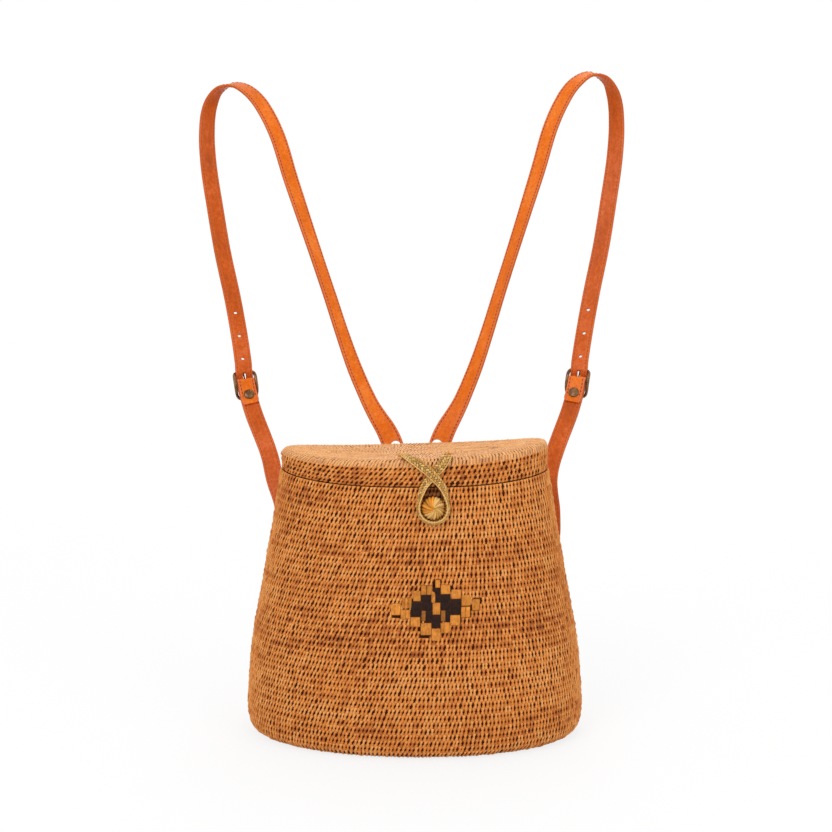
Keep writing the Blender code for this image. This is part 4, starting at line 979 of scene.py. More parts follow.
class StrapRoute:
    """One strap's stations, its two hinge places and its buckle's frame."""

    def __init__(self, side):
        rows, places = strap_rows(side)
        stations, marks = smooth_route(rows, STRAP_STEP)
        self.sign = SIDES[side]
        flip = Vector((self.sign, 1, 1))
        points = [Vector(row[:3]) for row in stations]
        self.sideways = []
        for row, ahead in zip(stations, tangents(points)):
            level = ahead.cross(BACK).normalized()
            behind = level.cross(ahead)
            angle = math.pi * row[3]
            self.sideways.append((level * math.cos(angle) + behind * math.sin(angle)) * flip)
        self.points = [point * flip for point in points]
        self.widths = [STRAP_WIDTH * row[4] for row in stations]
        self.root_axis, self.bar, self.foot_axis = (marks[place] for place in places)
        self.lengths = [0.0]
        for a, b in zip(self.points, self.points[1:]):
            self.lengths.append(self.lengths[-1] + (b - a).length)
        ahead = (self.points[self.bar + 1] - self.points[self.bar - 1]).normalized()
        across = self.sideways[self.bar]
        self.across = (across - ahead * across.dot(ahead)).normalized()
        self.up = -ahead
        self.out = self.outward(self.across, ahead)
        self.origin = self.points[self.bar]

    def outward(self, across, ahead):
        """The finished side of the strap faces this way."""
        return across.cross(ahead) * -self.sign

    def local(self, along, out, across=0.0):
        return self.origin + self.up * along + self.out * out + self.across * across

    def sample(self, length):
        for i in range(len(self.lengths) - 1):
            if length <= self.lengths[i + 1]:
                break
        t = (length - self.lengths[i]) / (self.lengths[i + 1] - self.lengths[i])
        point = self.points[i].lerp(self.points[i + 1], t)
        side = self.sideways[i].lerp(self.sideways[i + 1], t).normalized()
        ahead = (self.points[i + 1] - self.points[i]).normalized()
        across = (side - ahead * side.dot(ahead)).normalized()
        return point, side, self.widths[i], self.outward(across, ahead)


def layer(route, side_out, start, end, settle):
    """Stations of a strap layer that lies beside the route, from one length to another."""
    count = max(2, round(abs(end - start) / STRAP_STEP))
    rows = []
    for k in range(count + 1):
        length = start + (end - start) * k / count
        point, side, width, out = route.sample(length)
        ease = min(1, max(0, (settle[1] - length) / (settle[1] - settle[0])))
        ease = ease * ease * (3 - 2 * ease)
        rows.append((point + out * side_out * ease, side, width))
    return rows


def long_strap(route):
    """Root, over the top, through the buckle and down to the tail, as one strip of leather."""
    bar = route.lengths[route.bar]
    reach = BUCKLE_LENGTH / 2 - BAR_RADIUS
    fold = BAR_RADIUS + BAR_CLEARANCE + STRAP_THICK / 2
    under = fold + BAR_CLEARANCE
    over = fold + STRAP_THICK + GAP
    pass_under = BUCKLE_TOP_OUT - under
    ease_start = bar - reach - BUCKLE_EASE
    last = max(i for i in range(route.bar) if route.lengths[i] < ease_start)
    rows = list(zip(route.points[:last + 1], route.sideways[:last + 1], route.widths[:last + 1]))
    count = round(BUCKLE_EASE / STRAP_STEP * 2)
    for k in range(1, count):
        t = k / count
        point, side, width, out = route.sample(ease_start + BUCKLE_EASE * t)
        rows.append((point + out * pass_under * t * t * (3 - 2 * t), side, width))
    span = math.hypot(reach, BUCKLE_TOP_OUT)
    tilt = math.asin((over + under) / span) - math.atan2(BUCKLE_TOP_OUT, reach)
    for turn in range(5):
        angle = tilt * turn / 4
        rows.append((route.local(reach - under * math.sin(angle),
                                 BUCKLE_TOP_OUT - under * math.cos(angle)), route.across, STRAP_WIDTH))
    for turn in range(4, -1, -1):
        angle = tilt * turn / 4
        rows.append((route.local(over * math.sin(angle), over * math.cos(angle)), route.across,
                     STRAP_WIDTH))
    rows.append((route.local(-STRAP_THICK, over - GAP), route.across, STRAP_WIDTH))
    lies = GAP / 2 + STRAP_THICK + 2 * GAP + STRAP_THICK / 2
    rows += layer(route, lies, bar + over + STRAP_THICK, bar + TAIL_LENGTH,
                  (route.lengths[-1], route.lengths[-1] + STRAP_THICK))
    return rows


def short_strap(route):
    """From the foot on the back wall up to the bar, round it, and back down as the riveted flap."""
    bar = route.lengths[route.bar]
    foot = route.lengths[route.foot_axis]
    lies = GAP / 2 + STRAP_THICK / 2
    wrap = BAR_RADIUS + BAR_CLEARANCE + STRAP_THICK / 2
    tail = bar + TAIL_LENGTH
    rows = list(zip(route.points, route.sideways, route.widths))[:route.foot_axis:-1]
    rows += layer(route, lies, foot, bar + 4 * STRAP_THICK, (tail, foot))
    rows.append((route.local(-STRAP_THICK, wrap - GAP), route.across, STRAP_WIDTH))
    for turn in range(0, 181, 30):
        angle = math.radians(turn)
        rows.append((route.local(wrap * math.sin(angle), wrap * math.cos(angle)), route.across,
                     STRAP_WIDTH))
    rows.append((route.local(-STRAP_THICK, GAP - wrap), route.across, STRAP_WIDTH))
    rows += layer(route, -lies, bar + 4 * STRAP_THICK, bar + FLAP_LENGTH, (tail, foot))
    return rows


class Ribbon:
    """A strip of leather along stations, read at any length, place across and height."""

    def __init__(self, rows, facing, step=0.0022):
        table = [tuple(point) + tuple(side) + (width,) for point, side, width in rows]
        stations, _ = smooth_route(table, step)
        self.points = [Vector(row[:3]) for row in stations]
        forward = tangents(self.points)
        self.widths = [row[6] for row in stations]
        self.across, self.out = [], []
        for row, ahead in zip(stations, forward):
            side = Vector(row[3:6])
            across = (side - ahead * side.dot(ahead)).normalized()
            self.across.append(across)
            self.out.append(across.cross(ahead) * facing)
        self.lengths = [0.0]
        for a, b in zip(self.points, self.points[1:]):
            self.lengths.append(self.lengths[-1] + (b - a).length)

    def place(self, length, across, height):
        """A point at a length, a distance from the middle line and a height over its middle plane."""
        i = int(np.clip(np.searchsorted(self.lengths, length) - 1, 0, len(self.lengths) - 2))
        t = (length - self.lengths[i]) / (self.lengths[i + 1] - self.lengths[i])
        return (self.points[i].lerp(self.points[i + 1], t)
                + self.across[i].lerp(self.across[i + 1], t).normalized() * across
                + self.out[i].lerp(self.out[i + 1], t).normalized() * height)

    def width(self, length):
        return float(np.interp(length, self.lengths, self.widths))


# Shares of the half width and half thickness round a strip's section, from its finished face
STRIP_SECTION = (
    (-0.80, 1.0), (-0.955, 0.88), (-1.0, 0.60), (-1.0, 0.10), (-0.975, 0.0), (-1.0, -0.10),
    (-1.0, -0.60), (-0.955, -0.88), (-0.80, -1.0), (-0.70, -1.0), (-0.45, -1.0), (0.0, -1.0),
    (0.45, -1.0), (0.70, -1.0), (0.80, -1.0), (0.955, -0.88), (1.0, -0.60), (1.0, -0.10),
    (0.975, 0.0), (1.0, 0.10), (1.0, 0.60), (0.955, 0.88), (0.80, 1.0), (0.70, 1.0),
    (0.45, 1.0), (0.0, 1.0), (-0.45, 1.0), (-0.70, 1.0),
)


def strip_mesh(name, ribbon, tip_radius):
    """Sweep the section along the ribbon; the last stretch narrows to rounded corners."""
    shape = bmesh.new()
    rings = []
    last = len(ribbon.points) - 1
    for i in range(last + 1):
        left = ribbon.lengths[-1] - ribbon.lengths[i]
        short = max(0, tip_radius - left)
        half = ribbon.widths[i] / 2 - tip_radius + math.sqrt(tip_radius ** 2 - short ** 2)
        ring = []
        for w, n in STRIP_SECTION:
            ring.append(shape.verts.new(ribbon.points[i] + ribbon.across[i] * (w * half)
                                        + ribbon.out[i] * (n * STRAP_THICK / 2)))
        rings.append(ring)
    count = len(STRIP_SECTION)
    for lower, upper in zip(rings, rings[1:]):
        for k in range(count):
            shape.faces.new((lower[k], lower[(k + 1) % count], upper[(k + 1) % count], upper[k]))
    shape.faces.new(rings[0])
    shape.faces.new(rings[-1])
    bmesh.ops.triangulate(shape, faces=shape.faces)
    bmesh.ops.recalc_face_normals(shape, faces=shape.faces)
    mesh = bpy.data.meshes.new(name)
    shape.to_mesh(mesh)
    shape.free()
    return mesh


def paint_strip(mesh, ribbon):
    """Store, for each point, how near it is to the edge, which face it is on and its place along."""
    tree = KDTree(len(ribbon.points))
    for i, point in enumerate(ribbon.points):
        tree.insert(point, i)
    tree.balance()
    shades = []
    for vert in mesh.vertices:
        best = None
        for point, i, _ in tree.find_n(vert.co, 6):
            away = vert.co - point
            miss = abs(away.dot(ribbon.across[i].cross(ribbon.out[i])))
            if abs(away.dot(ribbon.out[i])) < STRAP_THICK * 0.62 and (best is None or miss < best[0]):
                best = (miss, i)
        i = best[1] if best else tree.find(vert.co)[1]
        away = vert.co - ribbon.points[i]
        share = abs(away.dot(ribbon.across[i])) / (ribbon.widths[i] / 2)
        height = away.dot(ribbon.out[i]) / (STRAP_THICK / 2)
        shades.append((min(1, share), 0.5 + 0.5 * max(-1, min(1, height)),
                       (ribbon.lengths[i] / ribbon.lengths[-1]), 1))
    paint = mesh.color_attributes.new(name="hide", type="FLOAT_COLOR", domain="POINT")
    paint.data.foreach_set("color", np.array(shades, dtype=np.float32).ravel())


def cut_away(piece, tools):
    """Cut the tools out of a piece, and keep the result as the piece's own mesh."""
    for tool in tools:
        step = piece.modifiers.new("cut", "BOOLEAN")
        step.operation = "DIFFERENCE"
        step.solver = "EXACT"
        step.object = tool
    bpy.context.view_layer.update()
    done = bpy.data.meshes.new_from_object(
        piece.evaluated_get(bpy.context.evaluated_depsgraph_get()))
    piece.modifiers.clear()
    old = piece.data
    done.name = old.name
    piece.data = done
    for tool in tools:
        bpy.data.objects.remove(tool, do_unlink=True)
    return done


def tool_object(name, shape, placement):
    shape.transform(placement)
    mesh = bpy.data.meshes.new(name)
    shape.to_mesh(mesh)
    shape.free()
    tool = bpy.data.objects.new(name, mesh)
    bpy.context.scene.collection.objects.link(tool)
    return tool


def axes(origin, x_axis, z_axis):
    turn = Matrix((x_axis, z_axis.cross(x_axis), z_axis)).transposed()
    return Matrix.Translation(origin) @ turn.to_4x4()


def hole_tool(name, radius, depth, origin, normal):
    shape = bmesh.new()
    bmesh.ops.create_cone(shape, cap_ends=True, segments=24, radius1=radius, radius2=radius, depth=depth)
    return tool_object(name, shape, axes(origin, UP.cross(normal).normalized(), normal))


def strap_tools(route, side):
    """The eyelets, the tongue's slot and the round-ended slot near the root."""
    bar = route.lengths[route.bar]
    long_tools, short_tools = [], []
    for k in (1, 2, 3):
        point, _, _, out = route.sample(bar - k * HOLE_PITCH)
        long_tools.append(hole_tool("eyelet", HOLE_RADIUS, 0.012, point, out))
    low = BAR_RADIUS + 2 * TONGUE_CLEARANCE + 2 * TONGUE_RADIUS
    high = BUCKLE_LENGTH / 2 - 3 * BAR_RADIUS
    fold = BAR_RADIUS + BAR_CLEARANCE + STRAP_THICK + GAP / 2
    for tools in (long_tools, short_tools):
        slot = bmesh.new()
        bmesh.ops.create_cube(slot, size=1)
        bmesh.ops.scale(slot, vec=(TONGUE_SLOT, high + low, fold + low), verts=slot.verts)
        lie = axes(route.local((high - low) / 2, (fold - low) / 2), route.across, route.out)
        tools.append(tool_object("tongue_slot", slot, lie))
    heights = [point.z for point in route.points[:route.bar]]
    i = next(k for k, z in enumerate(heights) if z > STRAP_AXIS_Z + SLOT_RISE)
    ahead = (route.points[i + 1] - route.points[i - 1]).normalized()
    across = route.sideways[i]
    across = (across - ahead * across.dot(ahead)).normalized()
    centre = Vector((-route.sign, 0, 0)).dot(across)
    top = route.points[i] + across * math.copysign(SLOT_OFFSET, centre) + ahead * (SLOT_WIDTH / 2 - SLOT_SINK)
    slot = bmesh.new()
    bmesh.ops.create_cone(slot, cap_ends=True, segments=32, radius1=SLOT_WIDTH / 2,
                          radius2=SLOT_WIDTH / 2, depth=0.012)
    for vert in slot.verts:
        vert.co.y -= SLOT_WIDTH / 2
        if vert.co.y < -SLOT_WIDTH / 2:
            vert.co.y -= SLOT_LENGTH - SLOT_WIDTH
    long_tools.append(tool_object("root_slot", slot, axes(top, across, across.cross(ahead))))
    return long_tools, short_tools


THREAD = ((-0.5, 0.35, 0.35, -0.55), (-0.30, 0.9, 0.9, 0.0), (0.30, 0.9, 0.9, 0.0), (0.5, 0.35, 0.35, -0.55))


def stitch_rows(ribbon, sizes, rng, start, end, skip):
    """Threads along both edges on both faces of a strip, as one mesh's arrays."""
    points, triangles = strand_shape(THREAD, 6)
    all_points, all_faces, all_shades = [], [], []
    base = 0
    long = sizes.thread_pitch * 0.74
    length = start
    while length < end:
        for edge in (-1, 1):
            for face in (-1, 1):
                across = edge * (ribbon.width(length) / 2 - sizes.thread_inset)
                middle = ribbon.place(length, across, 0)
                if any((middle - spot).length < reach for spot, reach in skip):
                    continue
                tone = rng.random()
                for x, y, z in points:
                    along = length + z * long + face * 0.0002
                    height = face * (STRAP_THICK / 2 + (y * 2 - 0.18) * sizes.thread)
                    all_points.append(ribbon.place(along, across + x * 2 * sizes.thread * face, height))
                    all_shades.append((tone, z + 0.5, face * 0.5 + 0.5, 1))
                all_faces.append(triangles + base)
                base += len(points)
        length += sizes.thread_pitch
    return np.array([p[:] for p in all_points]), np.concatenate(all_faces), np.array(all_shades)


def leather_finish(colours):
    """Waxed leather: bright face and redder reverse, both mottled up to painted highlights, darker edges with a
    pale worn line.
    """
    found = bpy.data.materials.get("strap_leather")
    if found:
        return found
    finish = Finish("strap_leather", 0.42, 0.0, 0.16)
    edge, face, along = finish.layer("hide")
    cloud = finish.noise(finish.place((45, 45, 22)), 1.0, 4)
    spots = finish.noise(finish.place((380, 380, 240)), 1.0, 4, 0.65)
    cloud = finish.level(finish.math("ADD", cloud, spots), 0.62, 1.38)
    # The finished side's mottling rises to a painted highlight.
    front = finish.ramp(cloud, (0.0, tuple(0.62 * c for c in colours.leather)), (0.5, tuple(
        0.88 * c for c in colours.leather)), (1.0, colours.leather_highlight))
    # The reverse's mottling rises to a painted highlight in the edge colour.
    back = finish.ramp(cloud, (0.0, tuple(0.52 * c for c in colours.leather_back)), (0.5, tuple(
        0.84 * c for c in colours.leather_back)), (1.0, colours.leather_rail_and_highlight))
    rail = finish.level(edge, 0.44, 0.70, 0.0, 0.6)
    front = finish.blend(rail, front, colours.leather_rail_and_highlight)
    back = finish.blend(finish.math("MULTIPLY", rail, 0.5), back, colours.leather_rail_and_highlight)
    base = finish.blend(finish.level(face, 0.42, 0.58), back, front)
    pores = finish.noise(finish.place((1100, 1100, 1100)), 1.0, 3)
    base = finish.blend(finish.level(pores, 0.35, 0.65, 0.28, 0.0), base, colours.thread)
    groove = finish.math("SUBTRACT", 1.0, finish.math("ABSOLUTE", finish.level(
        edge, 0.68, 0.80, -1.0, 1.0)), True)
    base = finish.blend(finish.math("MULTIPLY", groove, 0.55), base, tuple(0.6 * c for c in colours.leather_back))
    rim = finish.level(edge, 0.965, 1.0, 0.0, 0.45)
    base = finish.blend(rim, base, tuple(0.55 * c for c in colours.leather_back))
    wrinkle = finish.noise(finish.place((420, 420, 160)), 1.0, 5)
    finish.colour(base)
    finish.rough(finish.level(wrinkle, 0.3, 0.7, 0.34, 0.52))
    height = finish.math("ADD", finish.math("MULTIPLY", pores, 0.45), wrinkle)
    finish.bump(height, 0.0003, 0.5)
    return finish.material


class WEAVE_OT_straps(BasketPiece, bpy.types.Operator):
    """Cut, fold and stitch the leather shoulder straps"""
    bl_idname = "pack_basket.cut_straps"
    bl_label = "Cut the Straps"

    def execute(self, context):
        sizes, colours = self.settings(context)
        leather = leather_finish(colours)
        thread = Finish("thread", 0.7)
        tone, along, face = thread.layer("hide")
        sewn = thread.blend(tone, tuple(0.6 * c for c in colours.thread), colours.thread)
        thread.colour(thread.blend(thread.level(face, 0.4, 0.6), tuple(
            0.6 * c for c in colours.leather_back), sewn))
        for side in SIDES:
            rng = np.random.default_rng(sizes.seed + len(side))
            route = StrapRoute(side)
            facing = -SIDES[side]
            long_ribbon = Ribbon(long_strap(route), facing)
            short_ribbon = Ribbon(short_strap(route), -facing)
            long_tools, short_tools = strap_tools(route, side)
            bar = route.lengths[route.bar]
            for name, ribbon, tools, tip, nodes in (
                    ("strap_long_" + side, long_ribbon, long_tools, 0.0062, ("strap_root_", "strap_upper_")),
                    ("strap_short_" + side, short_ribbon, short_tools, 0.0015, ("strap_foot_", "strap_lower_"))):
                piece = new_piece(name, strip_mesh(name, ribbon, tip), None, leather)
                mesh = cut_away(piece, tools)
                paint_strip(mesh, ribbon)
                mesh.shade_smooth()
                mesh.set_sharp_from_angle(angle=math.radians(38))
                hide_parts(*(node + side for node in nodes))
                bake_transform(piece)
                slots = [(route.local(0, 0), 0.0062)] if "short" in name else []
                arrays = stitch_rows(ribbon, sizes, rng, 0.004, ribbon.lengths[-1] - 0.006, slots)
                seam = triangle_mesh(name + "_thread", *arrays, layer="hide")
                sewn = new_piece(name + "_thread", seam, None, thread.material)
                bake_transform(sewn)
        return {"FINISHED"}


# Plaited closure

def front_out(x, z, out):
    """A point in front of the lid's or the body's face."""
    if z > BODY_HEIGHT:
        across = abs(2 * x / LID_WIDTH) ** PLAN_POWER
        y = LID_DEPTH / 2 * (1 - across) ** (1 / PLAN_POWER)
        corner = max(0, z - lid_top(x) + LID_EDGE_RADIUS)
        y -= LID_EDGE_RADIUS - math.sqrt(max(0, LID_EDGE_RADIUS ** 2 - corner ** 2))
        return Vector((x, -y - out, z))
    return wall_point(x, z, -1)[0] - BACK * out


def band_rows():
    """The plait's route: from its left knot over the edge, round the knob and back to its right knot."""
    y = -LID_DEPTH / 2 + BAND_AXIS_IN
    z = lid_top(CLOSURE_X) + BAND_LIFT + GAP + BAND_THICK / 2
    rest = BAND_LIFT + GAP + BAND_THICK / 2
    ride = KNOB_DEPTH / 2 + GAP
    lean, upright = math.sin(BAND_ROUND_LEAN), math.cos(BAND_ROUND_LEAN)
    radius = KNOB_RADIUS + LOOP_CLEARANCE + BAND_THICK / 2 * upright + BAND_WIDTH / 2 * lean
    top = lid_top(CLOSURE_X)
    cross_z = top - BAND_CROSS_DROP
    edge_y = -LID_DEPTH / 2 + LID_EDGE_RADIUS / 2 - rest
    over = rest + BAND_THICK + 2 * GAP
    flat = Vector((1, 0, 0))
    deep = Vector((0, -1, 0))
    neck_out, neck_up = (radius * share for share in BAND_NECK_SHARES)
    neck_turn, neck_deep = BAND_NECK_TURN_SHARES
    edge_z = top + rest * BAND_EDGE_RISE_SHARE
    knot_run = BAND_THICK + 2 * GAP + ANCHOR_RUN
    knot_top = top - LID_TOP - LID_DISH - 2 * GAP

    def leg(anchor_x, number, out, neck_sign):
        across = -flat if number else flat
        edge_x = anchor_x + (CLOSURE_X - anchor_x) * BAND_EDGE_SHARES[number]
        slope_x = anchor_x + (CLOSURE_X - anchor_x) * BAND_SLOPE_SHARES[number]
        wide = BAND_LEG_WIDTH
        return [
            (Vector((anchor_x, y + knot_run, knot_top - ANCHOR_KNOT / 2)), across, BAND_WIDTH),
            (Vector((anchor_x, y + knot_run, z - 1.4 * BAND_THICK)), across, BAND_WIDTH),
            (Vector((anchor_x, y + 0.8 * knot_run, z - 0.25 * BAND_THICK)), across, wide),
            (Vector((anchor_x, y + 0.4 * knot_run, z)), across, wide),
            (Vector((anchor_x, y, z)), across, wide),
            (Vector((edge_x, edge_y, edge_z)), across, wide),
            (front_out(slope_x, (top + cross_z) / 2, out), across, wide),
            (front_out(CLOSURE_X, cross_z - BAND_THICK, out), across, (wide + BAND_WIDTH) / 2),
            (front_out(CLOSURE_X + neck_sign * neck_out, KNOB_HEIGHT + neck_up, ride),
             across * neck_turn - deep * neck_deep, BAND_WIDTH),
        ]

    rows = leg(CLOSURE_X - BAND_LEFT, 0, over, 1)
    centre, normal = wall_point(CLOSURE_X, KNOB_HEIGHT, -1)
    climb = UP - normal * normal.z
    for turn in BAND_ROUND_TURNS:
        angle = math.radians(turn)
        away = climb * math.sin(angle) + Vector((math.cos(angle), 0, 0))
        rows.append((centre + away * radius + normal * ride, away * lean - normal * upright, BAND_WIDTH))
    return rows + leg(CLOSURE_X + BAND_RIGHT, 1, rest, -1)[::-1]


def tube_along(path, radii, normals, sides=6):
    """A closed round tube through points, as arrays; its section turns with the normals."""
    points, faces = [], []
    forward = tangents(path)
    for i, (spot, radius, normal) in enumerate(zip(path, radii, normals)):
        side = forward[i].cross(normal).normalized()
        lift = side.cross(forward[i])
        for k in range(sides):
            angle = 2 * math.pi * k / sides
            points.append(spot + (side * math.cos(angle) + lift * math.sin(angle)) * radius)
    count = len(path)
    for i in range(count - 1):
        for k in range(sides):
            a, b = i * sides + k, i * sides + (k + 1) % sides
            faces += [(a, b, b + sides), (a, b + sides, a + sides)]
    first, last = len(points), len(points) + 1
    points += [path[0], path[-1]]
    for k in range(sides):
        faces.append((first, (k + 1) % sides, k))
        faces.append((last, (count - 1) * sides + k, (count - 1) * sides + (k + 1) % sides))
    return np.array([p[:] for p in points]), np.array(faces)


class TubeBundle:
    """Gathers tubes into the arrays of one mesh."""

    def __init__(self):
        self.points, self.faces, self.shades, self.size = [], [], [], 0

    def add(self, path, radii, normals, shade, sides=6):
        points, faces = tube_along(path, radii, normals, sides)
        self.points.append(points)
        self.faces.append(faces + self.size)
        runs = np.concatenate([np.repeat(np.linspace(0, 1, len(path)), sides), [0, 1]])
        shades = np.stack([np.full(len(points), shade[0]), runs, np.full(len(points), shade[1]),
                           np.ones(len(points))], axis=1)
        self.shades.append(shades)
        self.size += len(points)

    def stitch(self, ribbon, bead, length, middle, face, lean, sizes, rng):
        """One bead of the plait on a face of the ribbon."""
        points, triangles = bead
        size = 1 + 0.12 * rng.standard_normal()
        spread = ribbon.width(length) / BAND_WIDTH
        found = []
        for x, y, z in points:
            along = z * sizes.bead_length * size
            across = (x * sizes.bead_width * 1.08 + middle) * spread + along * lean
            height = face * (BAND_THICK / 2 - sizes.bead_depth / 2 + y * sizes.bead_depth)
            found.append(ribbon.place(length + along, across, height)[:])
        shade = np.empty((len(points), 4))
        shade[:] = (0.15 + 0.85 * rng.random(), 0.5, 0.0, 1.0)
        self.points.append(np.array(found))
        self.faces.append(triangles + self.size)
        self.shades.append(shade)
        self.size += len(points)

    def mesh(self, name):
        mesh = triangle_mesh(name, np.concatenate(self.points), np.concatenate(self.faces),
                             np.concatenate(self.shades))
        shape = bmesh.new()
        shape.from_mesh(mesh)
        bmesh.ops.recalc_face_normals(shape, faces=shape.faces)
        shape.to_mesh(mesh)
        shape.free()
        return mesh


def plait_finish(colours):
    """Dry plaited grass: dull gold, paler cords along the edges, warm tufts, and orange painted light on the
    knob's upper left strands.
    """
    found = bpy.data.materials.get("plaited_grass")
    if found:
        return found
    finish = Finish("plaited_grass", 0.6)
    tone, along, kind = finish.layer("weave")
    base = finish.ramp(tone, (0.0, tuple(0.22 * c for c in colours.plait)), (0.25, tuple(
        0.72 * c for c in colours.plait)), (0.6, colours.plait), (1.0, colours.plait_pale))
    warm = finish.ramp(tone, (0.0, tuple(0.35 * c for c in colours.plait_orange)), (
        0.6, colours.plait_orange), (1.0, tuple(min(1, 1.15 * c) for c in colours.plait_orange)))
    # The third channel blends in the orange: the tufts' own colour, and painted light on the knob's upper left
    # strands.
    base = finish.blend(finish.level(kind, 0.35, 0.8), base, warm)
    grain = finish.noise(finish.place((1500, 1500, 1500)), 1.0, 3)
    base = finish.blend(finish.level(grain, 0.35, 0.75, 0.0, 0.5), base, tuple(
        0.35 * c for c in colours.plait), "MIX")
    finish.colour(base)
    finish.bump(grain, 0.00015, 0.7)
    return finish.material


class WEAVE_OT_closure(BasketPiece, bpy.types.Operator):
    """Plait the loop that holds the lid shut, with its knots"""
    bl_idname = "pack_basket.plait_closure"
    bl_label = "Plait the Closure"

    def execute(self, context):
        sizes, colours = self.settings(context)
        rng = np.random.default_rng(sizes.seed + 2)
        ribbon = Ribbon(band_rows(), -1, 0.0006)
        bundle = TubeBundle()
        end = ribbon.lengths[-1]
        strands = 5
        count = round(end / 0.0009)
        for k in range(strands):
            path, normals = [], []
            for step in range(count + 1):
                length = end * step / count
                turn = 2 * math.pi * (length / sizes.plait_turn + k / strands)
                reach = ribbon.width(length) / 2 - sizes.plait_strand - 0.0004
                across = reach * math.asin(0.96 * math.sin(turn)) / 1.287
                path.append(ribbon.place(length, across, 0.0002 * math.cos(turn)))
                normals.append(ribbon.place(length, across, 0.001) - path[-1])
            bundle.add(path, [sizes.plait_strand] * (count + 1), normals, (0.0, 0.0))
        path, normals = [], []
        for step in range(count + 1):
            length = end * step / count
            across = 0.0004 - ribbon.width(length) / 2
            path.append(ribbon.place(length, across, 0.0003))
            normals.append(ribbon.place(length, across, 0.0013) - path[-1])
        bundle.add(path, [0.0005] * (count + 1), normals, (0.85, 0.0))
        bead = strand_shape(BEAD, 6)
        columns = 3
        for column in range(columns):
            middle = (column - (columns - 1) / 2) * sizes.bead_width + 0.0003
            lean = sizes.bead_lean * (1 if column % 2 else -1)
            for face in (1, -1):
                places = np.arange(0.5 + 0.5 * (column % 2), end / sizes.bead_pitch - 1)
                for place in places:
                    bundle.stitch(ribbon, bead, place * sizes.bead_pitch, middle, face, lean,
                                  sizes, rng)
        piece = new_piece("plaited_loop", bundle.mesh("plaited_loop"), None, plait_finish(colours),
                          "closure_loop", "loop_anchor_left", "loop_anchor_right")
        axis_y = -LID_DEPTH / 2 + BAND_AXIS_IN
        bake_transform(piece)
        tufts = TubeBundle()
        for x, ends, run in ((CLOSURE_X - BAND_LEFT + 0.001, 34, -0.005), (CLOSURE_X + BAND_RIGHT, 14, 0.003)):
            for k in range(ends):
                start = Vector((x + 0.005 * (rng.random() - 0.5), axis_y + 0.005 * (rng.random() - 0.3),
                                lid_top(x) + 0.0010 + 0.0016 * rng.random()))
                lean = Vector((run * (0.4 + 0.8 * rng.random()), -0.004 * rng.random(), 0.0003))
                path = [start + lean * t + UP * 0.0012 * math.sin(math.pi * t) for t in (0, 0.35, 0.7, 1)]
                tufts.add(path, [0.0004, 0.0004, 0.0003, 0.00015], [UP] * 4,
                          (0.4 + 0.6 * rng.random(), 0.3 + 0.7 * rng.random()), 5)
        new_piece("tied_ends", tufts.mesh("tied_ends"), "lid", plait_finish(colours))
        knots = TubeBundle()
        for x in (CLOSURE_X - BAND_LEFT, CLOSURE_X + BAND_RIGHT):
            centre = Vector((x, axis_y + BAND_THICK + 2 * GAP + ANCHOR_RUN,
                             lid_top(x) - LID_TOP - LID_DISH - ANCHOR_KNOT / 2 - 2 * GAP))
            for k in range(4):
                path, normals = [], []
                for step in range(25):
                    turn = 2 * math.pi * step / 24
                    lift = (k - 1.5) * 0.0011
                    path.append(centre + Vector((0.0026 * math.cos(turn), 0.0019 * math.sin(turn),
                                                 lift + 0.0005 * math.sin(2 * turn))))
                    normals.append(UP)
                knots.add(path, [0.0008] * 25, normals, (rng.random(), 0.0))
        new_piece("loop_knots", knots.mesh("loop_knots"), "lid", plait_finish(colours))
        return {"FINISHED"}


class WEAVE_OT_knob(BasketPiece, bpy.types.Operator):
    """Wind the knob's strands from its middle over its edge"""
    bl_idname = "pack_basket.wind_knob"
    bl_label = "Wind the Knob"

    def execute(self, context):
        sizes, colours = self.settings(context)
        rng = np.random.default_rng(sizes.seed + 3)
        point, normal = wall_point(CLOSURE_X, KNOB_HEIGHT, -1)
        across = UP.cross(normal).normalized()
        climb = normal.cross(across)
        bundle = TubeBundle()
        lift = 2 * GAP
        petals = 20
        reach = KNOB_RADIUS - 0.0012
        profile = ((0.03, 0.80), (0.18, 0.92), (0.36, 0.98), (0.56, 0.95), (0.76, 0.84), (0.92, 0.62),
                   (1.0, 0.38), (0.94, 0.16), (0.70, 0.06), (0.35, 0.05))
        start_u, start_v = 0.0004, -0.0004
        for k in range(petals):
            angle = 2 * math.pi * (k + 0.25 * rng.random()) / petals
            bulge = 1 + 0.04 * rng.standard_normal()
            path, radii = [], []
            for share, height in profile:
                c, s = math.cos(angle + 0.5 * (1 - share)), math.sin(angle + 0.5 * (1 - share))
                u = start_u * (1 - share) + c * reach * share
                v = start_v * (1 - share) + s * reach * share
                path.append(point + across * u + climb * v
                            + normal * (lift + 0.0009 + height * bulge * (KNOB_DEPTH - 0.0021)))
                radii.append(0.0003 + 0.0009 * share)
            c, s = math.cos(angle), math.sin(angle)
            # Painted light: strands on the knob's upper left, the side facing the key lamp, are pushed towards
            # the orange colour; the rest only a little.
            warm = 0.7 + 0.3 * rng.random() if c < 0.05 and s > -0.45 else 0.2 * rng.random()
            bundle.add(path, radii, [normal] * len(path), (0.1 + 0.9 * rng.random(), warm), 8)
        core = [point + normal * (lift + 0.0007 + share * (KNOB_DEPTH - 0.0034)) for share, _ in KNOB_CORE]
        bundle.add(core, [reach * share for _, share in KNOB_CORE], [across] * len(core), (0.0, 0.0), 24)
        new_piece("wound_knob", bundle.mesh("wound_knob"), "closure_button", plait_finish(colours),
                  "closure_button")
        dress("button_cord", plait_finish(colours))
        return {"FINISHED"}


